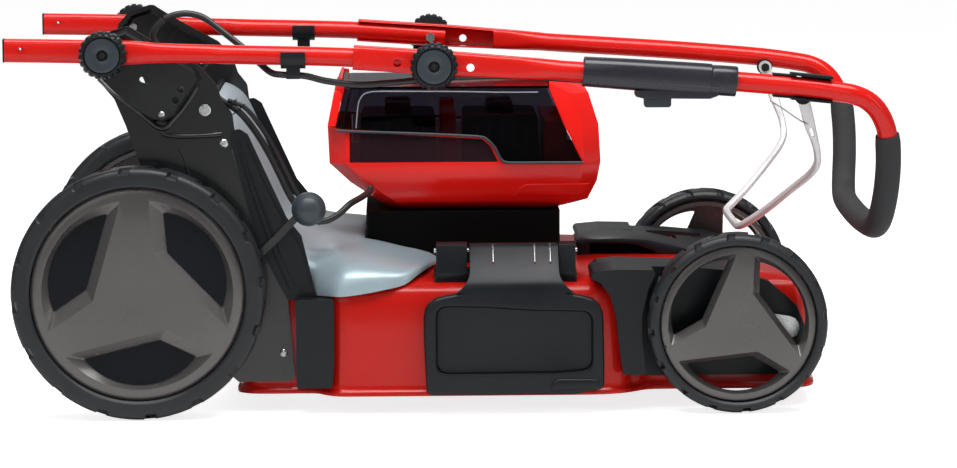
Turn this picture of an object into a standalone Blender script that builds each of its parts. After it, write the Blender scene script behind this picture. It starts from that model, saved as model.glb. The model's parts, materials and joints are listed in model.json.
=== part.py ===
"""A cordless lawn mower with its handle folded forward over the deck, built as separate pieces.

All lengths are in metres. x runs forward from the rear axle, y runs to the mower's left and z runs
up from the ground. One parent empty then moves the whole mower to its place in the row frame.
"""

import math

import bmesh
import bpy
from mathutils import Vector

# Where the rear axle stands in the row frame.
REAR_AXLE_X = -0.350

# Gap between two seated pieces.
FIT = 0.0004

# Wheels. In and out are the two sides of a tyre, measured from the middle of the mower.
REAR_R = 0.140
REAR_RIM_R = 0.118
REAR_IN = 0.2215
REAR_OUT = 0.270
FRONT_R = 0.100
FRONT_RIM_R = 0.087
FRONT_IN = 0.210
FRONT_OUT = 0.255
WHEELBASE = 0.662
AXLE_R = 0.0062
SPOKES = 3
LUGS = 16

# Height adjustment: each pair of wheels rides on a crank that turns about a rod in the deck.
CRANK = Vector((0.0591, -0.0104))
REAR_PIVOT = (CRANK.x, REAR_R + CRANK.y)
FRONT_PIVOT = (WHEELBASE + CRANK.x, FRONT_R + CRANK.y)
CRANK_T = 0.004
REAR_CRANK_Y = 0.2155
FRONT_CRANK_Y = 0.2030
LINK_ARM = 0.020
LINK_Y = 0.1375
LINK_T = 0.005
BALL_R = 0.019
BALL_AT = (0.188, 0.230)
BALL_Y = 0.2375

# Brackets and side covers, from the middle of the mower outward.
BRACKET_Y = 0.2085
BRACKET_T = 0.003
PAD_RISE = 0.015
COVER_Y = BRACKET_Y + BRACKET_T + FIT
COVER_T = 0.0026

# Handle
TUBE_Y = 0.235
TUBE_R = 0.0105
FLAT_HIGH = 0.013
FLAT_DEEP = 0.008
UPPER_R = 0.011
FOAM_R = 0.0142
HANDLE_PIVOT = (-0.034, 0.403)
CLAMP_AT = (0.327, 0.3885)
BOLT_R = 0.003
KNOB_R = 0.0262
PIVOT_KNOB_DEEP = 0.0315
CLAMP_KNOB_DEEP = 0.0255
CHANNEL_IN = 0.2230
CHANNEL_OUT = 0.2490
CHANNEL_HALF = 0.0134
CHANNEL_WALL = 0.0022
NECK_HALF = 0.0122
BAIL_AT = (0.735, 0.350)
BAIL_Y = 0.215
BAIL_HALF = 0.0040

# Deck
DECK_TOP = 0.153
DECK_RIM = 0.020
DECK_WALL = 0.0025
DECK_HALF = 0.232
FLAP_X = WHEELBASE - 0.252
FLAP_Y = DECK_HALF + 0.0065
FLAP_T = 0.009
MOTOR_X = 0.360
MOTOR_R = 0.058
MOTOR_HOLE_R = 0.062
BLADE_LEN = 0.430
BLADE_Z = 0.048

# Battery housing and lid
LID_GAP = 0.0008
LID_WALL = 0.0025
LID_HINGE = (0.2255, 0.3560)
LID_TOP = 0.3545

ORIGIN = Vector((0, 0, 0))
SIDES = (("right", -1), ("left", 1))

RED = ("deck_red", (0.62, 0.015, 0.012, 1), 0.1, 0.3)
BLACK = ("black_plastic", (0.02, 0.02, 0.022, 1), 0.0, 0.45)
SATIN = ("satin_black_steel", (0.03, 0.03, 0.032, 1), 0.4, 0.4)
RUBBER = ("tyre_rubber", (0.025, 0.025, 0.026, 1), 0.0, 0.8)
BRONZE = ("wheel_grey", (0.16, 0.15, 0.14, 1), 0.5, 0.4)
SILVER = ("silver_plastic", (0.30, 0.31, 0.32, 1), 0.4, 0.4)
STEEL = ("zinc_steel", (0.62, 0.62, 0.60, 1), 1.0, 0.3)
ALUMINIUM = ("aluminium", (0.72, 0.73, 0.74, 1), 1.0, 0.35)
SMOKED = ("smoked_plastic", (0.03, 0.03, 0.035, 0.45), 0.0, 0.1)
FOAM = ("grip_foam", (0.03, 0.03, 0.03, 1), 0.0, 0.9)
CORD = ("cord_rubber", (0.02, 0.02, 0.02, 1), 0.0, 0.5)
SLATE = ("knob_slate", (0.06, 0.07, 0.08, 1), 0.0, 0.35)


# Setting up


def clear_scene():
    for obj in list(bpy.data.objects):
        bpy.data.objects.remove(obj)


def new_collection(name):
    found = bpy.data.collections.new(name)
    bpy.context.scene.collection.children.link(found)
    return found


clear_scene()
PARTS = new_collection("lawn_mower")
CUTTERS = new_collection("cutters")
CUTTERS.hide_render = True
MATERIALS = {}
BODIES = {}


def material(spec):
    name, colour, metal, rough = spec
    if name in MATERIALS:
        return MATERIALS[name]
    made = bpy.data.materials.new(name)
    made.use_nodes = True
    shader = made.node_tree.nodes["Principled BSDF"]
    shader.inputs["Base Color"].default_value = (*colour[:3], 1)
    shader.inputs["Metallic"].default_value = metal
    shader.inputs["Roughness"].default_value = rough
    shader.inputs["Alpha"].default_value = colour[3]
    made.diffuse_color = colour
    MATERIALS[name] = made
    return made


def add_body(name, at, parent=None):
    """An empty on the joint axis of a moving body; its pieces are parented to it."""
    empty = bpy.data.objects.new(name, None)
    empty.empty_display_size = 0.03
    PARTS.objects.link(empty)
    place = Vector(at)
    if parent:
        empty.parent = BODIES[parent][0]
        empty.location = place - BODIES[parent][1]
    else:
        empty.location = place
    BODIES[name] = (empty, place)


def add_piece(obj, spec, body, at=ORIGIN):
    """Gives the piece its material and hangs it on its body. The mesh is drawn round the point at."""
    obj.data.materials.clear()
    obj.data.materials.append(material(spec))
    obj.parent = BODIES[body][0]
    obj.location = Vector(at) - BODIES[body][1]
    PARTS.objects.link(obj)
    return obj


def add_tool(obj, at=ORIGIN):
    """Keeps a cutter or a shape to be joined out of the render."""
    obj.parent = BODIES["mower"][0]
    obj.location = Vector(at)
    obj.hide_render = True
    obj.display_type = "WIRE"
    CUTTERS.objects.link(obj)
    return obj


def boolean(obj, tool, how):
    made = obj.modifiers.new(how.lower(), "BOOLEAN")
    made.operation = how
    made.solver = "EXACT"
    made.object = tool
    return obj


def cut(obj, *tools):
    for tool in tools:
        boolean(obj, tool, "DIFFERENCE")
    return obj


def join(obj, *tools):
    for tool in tools:
        boolean(obj, tool, "UNION")
    return obj


def keep_inside(obj, tool):
    return boolean(obj, tool, "INTERSECT")


# Outlines


def rounded(points, radius, steps=3):
    """The outline with each corner turned into an arc. A radius may be given for each corner."""
    out = []
    count = len(points)
    for i, point in enumerate(points):
        r = radius[i] if isinstance(radius, (list, tuple)) else radius
        p = Vector(point)
        a = Vector(points[i - 1]) - p
        b = Vector(points[(i + 1) % count]) - p
        if r <= 0:
            out.append(tuple(p))
            continue
        angle = a.angle(b)
        reach = min(r / math.tan(angle / 2), 0.45 * a.length, 0.45 * b.length)
        start = p + a.normalized() * reach
        end = p + b.normalized() * reach
        for k in range(steps + 1):
            t = k / steps
            out.append(tuple(start * (1 - t) ** 2 + p * 2 * t * (1 - t) + end * t ** 2))
    return out


def capsule(p, q, rp, rq, steps=6):
    """The outline of two discs and the straight edges between them."""
    p = Vector(p)
    q = Vector(q)
    turn = math.atan2(q.y - p.y, q.x - p.x)
    lean = math.asin((rp - rq) / (q - p).length)
    out = []
    for centre, r, start, end in ((q, rq, lean - math.pi / 2, math.pi / 2 - lean),
                                  (p, rp, math.pi / 2 - lean, 1.5 * math.pi + lean)):
        for k in range(steps + 1):
            a = turn + start + (end - start) * k / steps
            out.append((centre.x + r * math.cos(a), centre.y + r * math.sin(a)))
    return out


def circle(at, r, steps=16):
    return [(at[0] + r * math.cos(2 * math.pi * (k + 0.5) / steps),
             at[1] + r * math.sin(2 * math.pi * (k + 0.5) / steps)) for k in range(steps)]


def box_outline(x0, x1, z0, z1):
    return [(x0, z0), (x1, z0), (x1, z1), (x0, z1)]


def smooth_path(points, steps=3):
    """More points on a smooth curve through the given ones."""
    pts = [Vector(p) for p in points]
    pts = [2 * pts[0] - pts[1]] + pts + [2 * pts[-1] - pts[-2]]
    out = []
    for a, b, c, d in zip(pts, pts[1:], pts[2:], pts[3:]):
        for k in range(steps):
            t = k / steps
            out.append(0.5 * (2 * b + (c - a) * t + (2 * a - 5 * b + 4 * c - d) * t ** 2
                              + (3 * b - a - 3 * c + d) * t ** 3))
    return out + [pts[-2]]


# Shapes


def mesh_object(name, bm, smooth=False):
    mesh = bpy.data.meshes.new(name)
    bmesh.ops.remove_doubles(bm, verts=bm.verts, dist=1e-6)
    bmesh.ops.recalc_face_normals(bm, faces=bm.faces)
    for face in bm.faces:
        face.smooth = smooth
    bm.to_mesh(mesh)
    bm.free()
    return bpy.data.objects.new(name, mesh)


def prism(name, outline, start, end, axis="Y"):
    """The outline, drawn across the given axis, made solid between two places on it."""
    def at(point, depth):
        u, v = point
        return {"X": (depth, u, v), "Y": (u, depth, v), "Z": (u, v, depth)}[axis]

    bm = bmesh.new()
    face = bm.faces.new([bm.verts.new(at(p, start)) for p in outline])
    moved = bmesh.ops.extrude_face_region(bm, geom=[face])["geom"]
    step = Vector(at((0, 0), end)) - Vector(at((0, 0), start))
    bmesh.ops.translate(bm, vec=step, verts=[v for v in moved if isinstance(v, bmesh.types.BMVert)])
    return mesh_object(name, bm)


def block(name, x0, x1, y0, y1, z0, z1):
    return prism(name, box_outline(x0, x1, z0, z1), y0, y1)


def rod(name, at, r, start, end, axis="Y", steps=12):
    obj = prism(name, circle(at, r, steps), start, end, axis)
    for face in obj.data.polygons:
        face.use_smooth = len(face.vertices) == 4
    return obj


def loft(name, rings, smooth=False, loop=False):
    """A solid through rings with the same number of points. With loop, the last ring meets the first."""
    bm = bmesh.new()
    grid = [[bm.verts.new(p) for p in ring] for ring in rings]
    count = len(grid[0])
    pairs = list(zip(grid, grid[1:] + grid[:1])) if loop else list(zip(grid, grid[1:]))
    for low, high in pairs:
        for i in range(count):
            j = (i + 1) % count
            bm.faces.new((low[i], low[j], high[j], high[i]))
    if not loop:
        bm.faces.new(grid[0][::-1])
        bm.faces.new(grid[-1])
    return mesh_object(name, bm, smooth)


def skin(name, rings, wall, ring_closed=False, smooth=True):
    """A sheet through the rings, thickened inward by wall."""
    bm = bmesh.new()
    grid = [[bm.verts.new(p) for p in ring] for ring in rings]
    count = len(grid[0])
    for low, high in zip(grid, grid[1:]):
        for i in range(count if ring_closed else count - 1):
            j = (i + 1) % count
            face = bm.faces.new((high[i], high[j], low[j], low[i]))
            face.smooth = smooth
    mesh = bpy.data.meshes.new(name)
    bm.to_mesh(mesh)
    bm.free()
    obj = bpy.data.objects.new(name, mesh)
    thick = obj.modifiers.new("wall", "SOLIDIFY")
    thick.thickness = wall
    thick.offset = -1
    thick.use_even_offset = True
    return obj


def sweep(name, stations, sides=12, bore=0, part=None):
    """A bar along a path. A station is (point, half height, half depth, squareness).

    With a bore, the bar is a sleeve round a hole of that radius. With part, only the stations
    between those two numbers are kept, though the whole path sets how they lean.
    """
    points = [Vector(s[0]) for s in stations]
    tangents = []
    for i in range(len(points)):
        ahead = points[min(i + 1, len(points) - 1)] - points[i]
        behind = points[i] - points[max(i - 1, 0)]
        tangents.append((ahead.normalized() + behind.normalized()).normalized())
    side = Vector((0, 1, 0))
    outer = []
    inner = []
    for (point, high, deep, power), along in zip(stations, tangents):
        side = (side - along * side.dot(along)).normalized()
        up = side.cross(along)
        ring = []
        hole = []
        for k in range(sides):
            a = 2 * math.pi * (k + 0.5) / sides
            c = math.cos(a)
            s = math.sin(a)
            u = math.copysign(abs(c) ** (2 / power), c)
            v = math.copysign(abs(s) ** (2 / power), s)
            ring.append(Vector(point) + side * deep * u + up * high * v)
            hole.append(Vector(point) + side * bore * c + up * bore * s)
        outer.append(ring)
        inner.append(hole)
    if part:
        outer = outer[part[0]:part[1]]
        inner = inner[part[0]:part[1]]
    if bore:
        return loft(name, outer + inner[::-1], True, loop=True)
    return loft(name, outer, True)


def round_bar(name, points, r, sides=12, bore=0, part=None):
    return sweep(name, [(p, r, r, 2) for p in points], sides, bore, part)


def turned(name, profile, steps=24, closed=False):
    """A round piece about its own z axis, from a half section that runs top to bottom outside."""
    mesh = bpy.data.meshes.new(name)
    count = len(profile)
    edges = [(i, (i + 1) % count) for i in range(count if closed else count - 1)]
    mesh.from_pydata([(r, 0, h) for r, h in profile], edges, [])
    obj = bpy.data.objects.new(name, mesh)
    screw = obj.modifiers.new("turn", "SCREW")
    screw.axis = "Z"
    screw.steps = steps
    screw.render_steps = steps
    screw.use_merge_vertices = True
    screw.merge_threshold = 0.00005
    screw.use_smooth_shade = True
    return obj


def lobed(name, profile, steps, wave, closed=False):
    """Like turned, but wave(step, point) is taken off the radius, for lugs and finger lobes."""
    bm = bmesh.new()
    rows = []
    for k, (r, h) in enumerate(profile):
        if r == 0:
            rows.append([bm.verts.new((0, 0, h))])
            continue
        row = []
        for j in range(steps):
            a = 2 * math.pi * j / steps - math.pi / 2
            here = r - wave(j, k)
            row.append(bm.verts.new((here * math.cos(a), here * math.sin(a), h)))
        rows.append(row)
    pairs = list(zip(rows, rows[1:]))
    if closed:
        pairs.append((rows[-1], rows[0]))
    for a, b in pairs:
        for j in range(steps):
            i = (j + 1) % steps
            if len(a) == 1:
                bm.faces.new((a[0], b[j], b[i]))
            elif len(b) == 1:
                bm.faces.new((a[j], b[0], a[i]))
            else:
                bm.faces.new((a[j], b[j], b[i], a[i]))
    return mesh_object(name, bm, True)


def cord(name, points, r, bevel=2):
    curve = bpy.data.curves.new(name, "CURVE")
    curve.dimensions = "3D"
    curve.bevel_depth = r
    curve.bevel_resolution = bevel
    curve.use_fill_caps = True
    line = curve.splines.new("POLY")
    line.points.add(len(points) - 1)
    for place, point in zip(line.points, points):
        place.co = (*point, 1)
    return bpy.data.objects.new(name, curve)


# Wheels


def pocket_tool(name, turn, flip, rim_r, corner_r, face_h, floor_h, shrink):
    """A pocket between two spokes, narrower at its floor. flip mirrors it for the left side."""
    ends = [math.radians(83 + turn), math.radians(-21.4 + turn)]
    corner = math.radians(69 + turn)
    outline = [(corner_r * math.cos(corner), corner_r * math.sin(corner))]
    for k in range(6):
        a = ends[1] + (ends[0] - ends[1]) * k / 5
        outline.append((rim_r * math.cos(a), rim_r * math.sin(a)))
    outline = [Vector((x, y * flip)) for x, y in outline]
    middle = sum(outline, Vector((0, 0))) / len(outline)
    top = [(*(middle + (p - middle) * 1.10), face_h + 0.004) for p in outline]
    low = [(*(middle + (p - middle) * shrink), floor_h) for p in outline]
    return loft(name, [low, top])


def make_rim(name, front, flip):
    r = FRONT_RIM_R if front else REAR_RIM_R
    if front:
        profile = [(0, 0.0415), (0.020, 0.0423), (0.060, 0.0423), (0.083, 0.0405), (r, 0.0375),
                   (r, 0.0040), (r - 0.0015, 0.0025), (r - 0.006, 0.0025), (r - 0.009, 0.0310),
                   (0.020, 0.0310), (0.018, 0.0010), (AXLE_R + FIT, 0.0010),
                   (AXLE_R + FIT, 0.0370), (0, 0.0370)]
    else:
        profile = [(0, 0.0450), (0.025, 0.0460), (0.080, 0.0462), (0.113, 0.0445), (r, 0.0410),
                   (r, 0.0040), (r - 0.0015, 0.0025), (r - 0.006, 0.0025), (r - 0.009, 0.0335),
                   (0.026, 0.0335), (0.022, 0.0010), (AXLE_R + FIT, 0.0010),
                   (AXLE_R + FIT, 0.0405), (0, 0.0405)]
    obj = turned(name, profile, 24 if front else 28)
    tools = []
    for k in range(SPOKES):
        if front:
            tool = pocket_tool(name + "_pocket", -6.5 - 120 * k, flip, 0.0775, 0.0375,
                               0.0423, 0.0200, 0.66)
        else:
            tool = pocket_tool(name + "_pocket", -120 * k, flip, 0.1060, 0.0490,
                               0.0462, 0.0375, 0.74)
        tools.append(tool)
    return obj, tools


def make_tyre(name, front, flip):
    r = FRONT_R if front else REAR_R
    hole = (FRONT_RIM_R if front else REAR_RIM_R) + FIT
    wide = (FRONT_OUT - FRONT_IN) if front else (REAR_OUT - REAR_IN)
    wall = r - hole
    profile = [(hole, wide - 0.003), (hole + 0.45 * wall, wide), (r - 0.0050, wide - 0.001),
               (r - 0.0010, wide - 0.010), (r, wide / 2), (r - 0.0010, 0.010), (r - 0.0050, 0.001),
               (hole, 0.003)]

    def wave(j, k):
        phase = 0 if k < 4 else 1
        deep = {2: 0.0034, 3: 0.0030, 5: 0.0030, 6: 0.0034}.get(k, 0)
        return deep if (j + phase) % 3 == 2 else 0

    return lobed(name, profile, 3 * LUGS, wave, closed=True)


def add_wheels():
    for side, s in SIDES:
        for end, front in (("rear", False), ("front", True)):
            inner = FRONT_IN if front else REAR_IN
            r = FRONT_R if front else REAR_R
            at = Vector((WHEELBASE if front else 0, s * inner, r))
            body = f"wheel_{end}_{side}"
            add_body(body, at, end + "_carrier")
            rim, tools = make_rim(f"rim_{end}_{side}", front, -s)
            tyre = make_tyre(f"tyre_{end}_{side}", front, -s)
            add_piece(rim, BRONZE, body, at)
            add_piece(tyre, RUBBER, body, at)
            for piece in [rim, tyre, *tools]:
                piece.rotation_euler = (-s * math.pi / 2, 0, 0)
            for tool in tools:
                add_tool(tool, at)
                cut(rim, tool)


# Height adjustment


def crank_plate(name, pivot, wheel, y, s):
    outline = capsule(pivot, wheel, 0.013, 0.012)
    return prism(name, outline, s * y, s * (y + CRANK_T))


def add_link_arm(obj, pivot):
    """An arm on the cross rod whose pin carries the link that ties the front and rear cranks."""
    top = (pivot[0], pivot[1] + LINK_ARM)
    arm = prism("link_arm", capsule(pivot, top, 0.0095, 0.006), LINK_Y - 0.0065, LINK_Y - 0.0005)
    pin = rod("link_pin", top, 0.003, LINK_Y - 0.003, LINK_Y + LINK_T + 0.001)
    head = rod("link_pin_head", top, 0.005, LINK_Y + LINK_T + 0.0005, LINK_Y + LINK_T + 0.0025)
    join(obj, add_tool(arm), add_tool(pin), add_tool(head))


LEVER_LINE = [REAR_PIVOT, (0.090, 0.146), (0.120, 0.166), (0.150, 0.194), (0.172, 0.217), BALL_AT]


def band(points, half):
    """The outline of a flat bar with the same width all along a line."""
    pts = [Vector(p) for p in points]
    left = []
    right = []
    for i, p in enumerate(pts):
        along = (pts[min(i + 1, len(pts) - 1)] - pts[max(i - 1, 0)]).normalized()
        across = Vector((-along.y, along.x)) * half
        left.append(p + across)
        right.append(p - across)
    return left + right[::-1]


def add_rear_carrier():
    plate_hole = AXLE_R + FIT
    axle = rod("rear_axle", REAR_PIVOT, AXLE_R, -REAR_CRANK_Y - CRANK_T + 0.0005, REAR_CRANK_Y + 0.002)
    left = crank_plate("rear_crank", REAR_PIVOT, (0, REAR_R), REAR_CRANK_Y, 1)
    stub = rod("rear_stub", (0, REAR_R), AXLE_R, REAR_CRANK_Y + 0.001, REAR_IN + 0.0400)
    join(axle, add_tool(left), add_tool(stub))
    add_link_arm(axle, REAR_PIVOT)
    add_piece(axle, STEEL, "rear_carrier")

    lever = crank_plate("height_lever", REAR_PIVOT, (0, REAR_R), REAR_CRANK_Y, -1)
    arm = prism("lever_arm", band(LEVER_LINE, 0.0040), -REAR_CRANK_Y - 0.0002,
                -REAR_CRANK_Y - CRANK_T + 0.0002)
    end = rod("lever_end", BALL_AT, 0.0075, -REAR_CRANK_Y - 0.0003, -REAR_CRANK_Y - CRANK_T + 0.0003)
    right_stub = rod("rear_stub", (0, REAR_R), AXLE_R, -REAR_CRANK_Y - 0.001, -REAR_IN - 0.0400)
    stud = rod("ball_stud", BALL_AT, 0.0045, -REAR_CRANK_Y - 0.001, -BALL_Y - 0.004)
    join(lever, add_tool(arm), add_tool(end), add_tool(right_stub), add_tool(stud))
    hole = rod("axle_hole", REAR_PIVOT, plate_hole, -REAR_CRANK_Y + 0.01, -REAR_CRANK_Y - 0.02)
    cut(lever, add_tool(hole))
    add_piece(lever, SATIN, "rear_carrier")

    bottom = -math.sqrt(BALL_R ** 2 - 0.008 ** 2)
    profile = [(0, BALL_R)]
    for k in range(1, 8):
        a = math.pi / 2 - k * (math.pi / 2 + math.acos(0.008 / BALL_R)) / 7
        profile.append((BALL_R * math.cos(a), BALL_R * math.sin(a)))
    stem = 0.0045 + FIT
    profile += [(stem, bottom), (stem, 0.0045), (0, 0.0045)]
    ball = turned("lever_knob", profile, 20)
    ball.rotation_euler = (math.pi / 2, 0, 0)
    add_piece(ball, SLATE, "rear_carrier", (BALL_AT[0], -BALL_Y, BALL_AT[1]))


def add_front_carrier():
    axle = rod("front_axle", FRONT_PIVOT, AXLE_R, -FRONT_CRANK_Y - 0.002, FRONT_CRANK_Y + 0.002)
    for side, s in SIDES:
        plate = crank_plate("front_crank", FRONT_PIVOT, (WHEELBASE, FRONT_R), FRONT_CRANK_Y, s)
        stub = rod("front_stub", (WHEELBASE, FRONT_R), AXLE_R, s * (FRONT_CRANK_Y + 0.001),
                   s * (FRONT_IN + 0.0365))
        join(axle, add_tool(plate), add_tool(stub))
    add_link_arm(axle, FRONT_PIVOT)
    add_piece(axle, STEEL, "front_carrier")


def add_height_link():
    rear = Vector((REAR_PIVOT[0], REAR_PIVOT[1] + LINK_ARM))
    front = Vector((FRONT_PIVOT[0], FRONT_PIVOT[1] + LINK_ARM))
    obj = prism("height_link", capsule(rear, front, 0.0075, 0.0075), LINK_Y, LINK_Y + LINK_T)
    for end in (rear, front):
        tool = rod("link_eye", end, 0.003 + FIT, LINK_Y - 0.01, LINK_Y + 0.02)
        cut(obj, add_tool(tool))
    add_piece(obj, SATIN, "height_link_body")


# Deck

# Half of the deck's outline seen from above. The nose is set out from the front axle.
DECK_BACK = [(0.110, 0.000), (0.110, 0.065), (0.110, 0.130), (0.110, 0.186), (0.118, 0.2005),
             (0.136, 0.2065), (0.192, 0.2065), (0.206, max(0.2065, DECK_HALF - 0.013)),
             (0.222, DECK_HALF - 0.001), (0.260, DECK_HALF)]
DECK_NOSE = [(-0.322, DECK_HALF), (-0.232, DECK_HALF), (-0.162, DECK_HALF - 0.001),
             (-0.132, DECK_HALF - 0.008), (-0.116, DECK_HALF - 0.020), (-0.102, 0.1990),
             (-0.082, 0.1945), (-0.032, 0.1940), (0.028, 0.1940), (0.066, 0.1930), (0.081, 0.1840),
             (0.089, 0.1600), (0.0915, 0.0800), (0.0920, 0.0000)]


def from_front(points):
    """Points that are set out from the front axle, in the mower's own frame."""
    return [(WHEELBASE + x, across) for x, across in points]


HALF_PLAN = DECK_BACK + from_front(DECK_NOSE)


def deck_plan(grow):
    """The deck's outline seen from above, moved outward by grow."""
    half = [Vector(p) for p in HALF_PLAN]
    full = half + [Vector((p.x, -p.y)) for p in half[-2:0:-1]]
    out = []
    count = len(full)
    for i, p in enumerate(full):
        a = (p - full[i - 1]).normalized()
        b = (full[(i + 1) % count] - p).normalized()
        n = (Vector((-a.y, a.x)) + Vector((-b.y, b.x))).normalized()
        out.append(p + n * grow / max(0.5, n.dot(Vector((-a.y, a.x)))))
    return out


def deck_rings(grow=0.0):
    """Rings of the deck's outer face from the rim lip up to the motor hole."""
    shoulder = [(0.0040, DECK_RIM), (0.0036, 0.0245), (0.0, 0.0290), (-0.0015, 0.1180),
                (-0.0045, 0.1310), (-0.0100, 0.1395)]
    rings = []
    for inset, z in shoulder:
        rings.append([(p.x, p.y, z + grow) for p in deck_plan(inset + grow)])
    last = deck_plan(-0.0100 + grow)
    centre = Vector((MOTOR_X, 0))
    for t, z in ((0.08, 0.1465), (0.45, DECK_TOP), (1.0, DECK_TOP)):
        ring = []
        for p in last:
            inner = centre + (p - centre).normalized() * MOTOR_HOLE_R
            q = p.lerp(inner, t)
            ring.append((q.x, q.y, z + grow))
        rings.append(ring)
    return rings


def deck_tool():
    """The whole volume of the deck with a small gap round it, to trim what sits against it."""
    rings = deck_rings(FIT)
    below = [(x, y, DECK_RIM - 0.03) for x, y, z in rings[0]]
    return add_tool(loft("deck_volume", [below, *rings]))


def add_deck():
    deck = skin("deck_shell", deck_rings(), DECK_WALL, ring_closed=True)
    rear = block("rear_opening", 0.06, 0.268, -0.150, 0.150, 0.034, 0.30)
    side = prism("side_opening", rounded(box_outline(FLAP_X - 0.078, FLAP_X + 0.092, 0.034, 0.116), 0.008),
                 -0.30, -DECK_HALF + 0.042)
    cut(deck, add_tool(rear), add_tool(side))
    hole = rod("front_rod_hole", FRONT_PIVOT, AXLE_R + 0.0006, -0.25, 0.25)
    cut(deck, add_tool(hole))
    add_piece(deck, RED, "mower")


def add_motor():
    x = MOTOR_X
    cowl = prism("motor_cowl", rounded(box_outline(0.250, 0.471, -0.110, 0.110), 0.016),
                 DECK_TOP + 0.0006, 0.2125, axis="Z")
    hollow = prism("cowl_hollow", rounded(box_outline(0.2525, 0.4685, -0.1075, 0.1075), 0.014),
                   DECK_TOP - 0.01, 0.2100, axis="Z")
    cut(cowl, add_tool(hollow))
    add_piece(cowl, BLACK, "mower")
    profile = [(0, 0.2050), (0.050, 0.2050), (MOTOR_R, 0.1990), (MOTOR_R, 0.1585), (0.074, 0.1585),
               (0.074, DECK_TOP + FIT), (MOTOR_R, DECK_TOP + FIT), (MOTOR_R, 0.1080), (0.052, 0.1020),
               (0.007, 0.1020), (0.007, 0.0560), (0, 0.0560)]
    motor = turned("motor", profile, 20)
    add_piece(motor, SATIN, "mower", (x, 0, 0))


def add_blade():
    add_body("blade_body", (MOTOR_X, 0, BLADE_Z), "mower")
    half = BLADE_LEN / 2
    wide = 0.025
    rings = []
    for x, lift in ((-half, 0.016), (-half + 0.045, 0.008), (-0.10, 0), (0.10, 0),
                    (half - 0.045, -0.008), (half, -0.016)):
        tip = abs(lift)
        ends = ((-wide, 0 if lift <= 0 else tip), (wide, tip if lift < 0 else 0))
        (y0, z0), (y1, z1) = ends
        rings.append([(x, y0, z0), (x, y1, z1), (x, y1, z1 + 0.003), (x, y0, z0 + 0.003)])
    blade = loft("blade", rings)
    hole = rod("blade_hole", (0, 0), 0.008, -0.01, 0.02, axis="Z")
    add_tool(hole, (MOTOR_X, 0, BLADE_Z))
    cut(blade, hole)
    add_piece(blade, STEEL, "blade_body", (MOTOR_X, 0, BLADE_Z))
    bore = 0.007 + FIT
    neck = 0.008 - FIT
    profile = [(0, 0.0070), (bore, 0.0070), (bore, 0.0520), (0.016, 0.0520), (0.019, 0.0480),
               (0.019, 0.0030 + FIT), (neck, 0.0030 + FIT), (neck, -FIT), (0.011, -FIT),
               (0.011, -0.0070), (0, -0.0070)]
    hub = turned("blade_hub", profile, 16)
    add_piece(hub, SATIN, "blade_body", (MOTOR_X, 0, BLADE_Z))


# Brackets, covers and chute

BRACKET = [(-0.053, 0.406), (-0.038, 0.423), (-0.010, 0.432), (0.012, 0.418), (0.070, 0.386),
           (0.087, 0.366), (0.093, 0.348), (0.104, 0.334), (0.107, 0.310), (0.103, 0.292),
           (0.120, 0.233), (0.135, 0.184), (0.163, 0.128), (0.171, 0.034), (0.102, 0.034),
           (0.095, 0.100), (0.046, 0.112), (0.042, 0.140), (0.020, 0.235), (-0.004, 0.292),
           (-0.014, 0.322), (-0.026, 0.351), (-0.047, 0.376)]
PAD_BASE = [(-0.0505, 0.4035), (-0.0375, 0.4195), (-0.0115, 0.4285), (0.0110, 0.4150),
            (0.0640, 0.3850), (0.0715, 0.3725), (0.0560, 0.3520), (0.0420, 0.3320), (0.0290, 0.3235),
            (0.0150, 0.3265), (-0.0010, 0.3365), (-0.0270, 0.3560), (-0.0450, 0.3745)]


def shrunk(outline, by):
    """The outline moved inward by a distance, for outlines with no sharp corners."""
    pts = [Vector(p) for p in outline]
    area = sum(a.x * b.y - b.x * a.y for a, b in zip(pts, pts[1:] + pts[:1]))
    turn = 1 if area > 0 else -1
    out = []
    for i, p in enumerate(pts):
        a = (p - pts[i - 1]).normalized()
        b = (pts[(i + 1) % len(pts)] - p).normalized()
        n = (Vector((-a.y, a.x)) + Vector((-b.y, b.x))).normalized() * turn
        out.append(p + n * by / max(0.6, n.dot(Vector((-a.y, a.x)) * turn)))
    return out


def add_brackets():
    for side, s in SIDES:
        inner = s * BRACKET_Y
        outer = s * (BRACKET_Y + BRACKET_T)
        top = s * (BRACKET_Y + BRACKET_T + PAD_RISE)
        under = s * (BRACKET_Y + PAD_RISE)
        obj = prism(f"rear_bracket_{side}", rounded(BRACKET, 0.006, 1), inner, outer)
        pad_top = shrunk(PAD_BASE, 0.0045)
        pad = loft("pad", [[(p[0], inner + s * 0.0005, p[1]) for p in PAD_BASE],
                           [(p[0], outer, p[1]) for p in PAD_BASE],
                           [(p.x, top, p.y) for p in pad_top]])
        low = shrunk(PAD_BASE, 0.0025)
        high = shrunk(PAD_BASE, 0.0070)
        hollow = loft("pad_hollow", [[(p.x, inner - s * 0.002, p.y) for p in low],
                                     [(p.x, inner, p.y) for p in low],
                                     [(p.x, under, p.y) for p in high]])
        join(obj, add_tool(pad))
        cut(obj, add_tool(hollow))
        holes = [(HANDLE_PIVOT, BOLT_R + FIT), ((0.048, 0.362), 0.0042), ((0.042, 0.350), 0.0042),
                 ((0.027, 0.335), 0.0042), (REAR_PIVOT, AXLE_R + 0.0006), ((0.074, 0.338), 0.0034),
                 ((0.130, 0.100), 0.0030)]
        for at, r in holes:
            tool = rod("bracket_hole", at, r, s * 0.19, s * 0.25)
            cut(obj, add_tool(tool))
        slot = prism("bracket_slot", capsule((0.006, 0.3735), (0.0125, 0.3715), 0.003, 0.003, 4),
                     s * 0.19, s * 0.25)
        cut(obj, add_tool(slot))
        add_piece(obj, SATIN, "mower")


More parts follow.
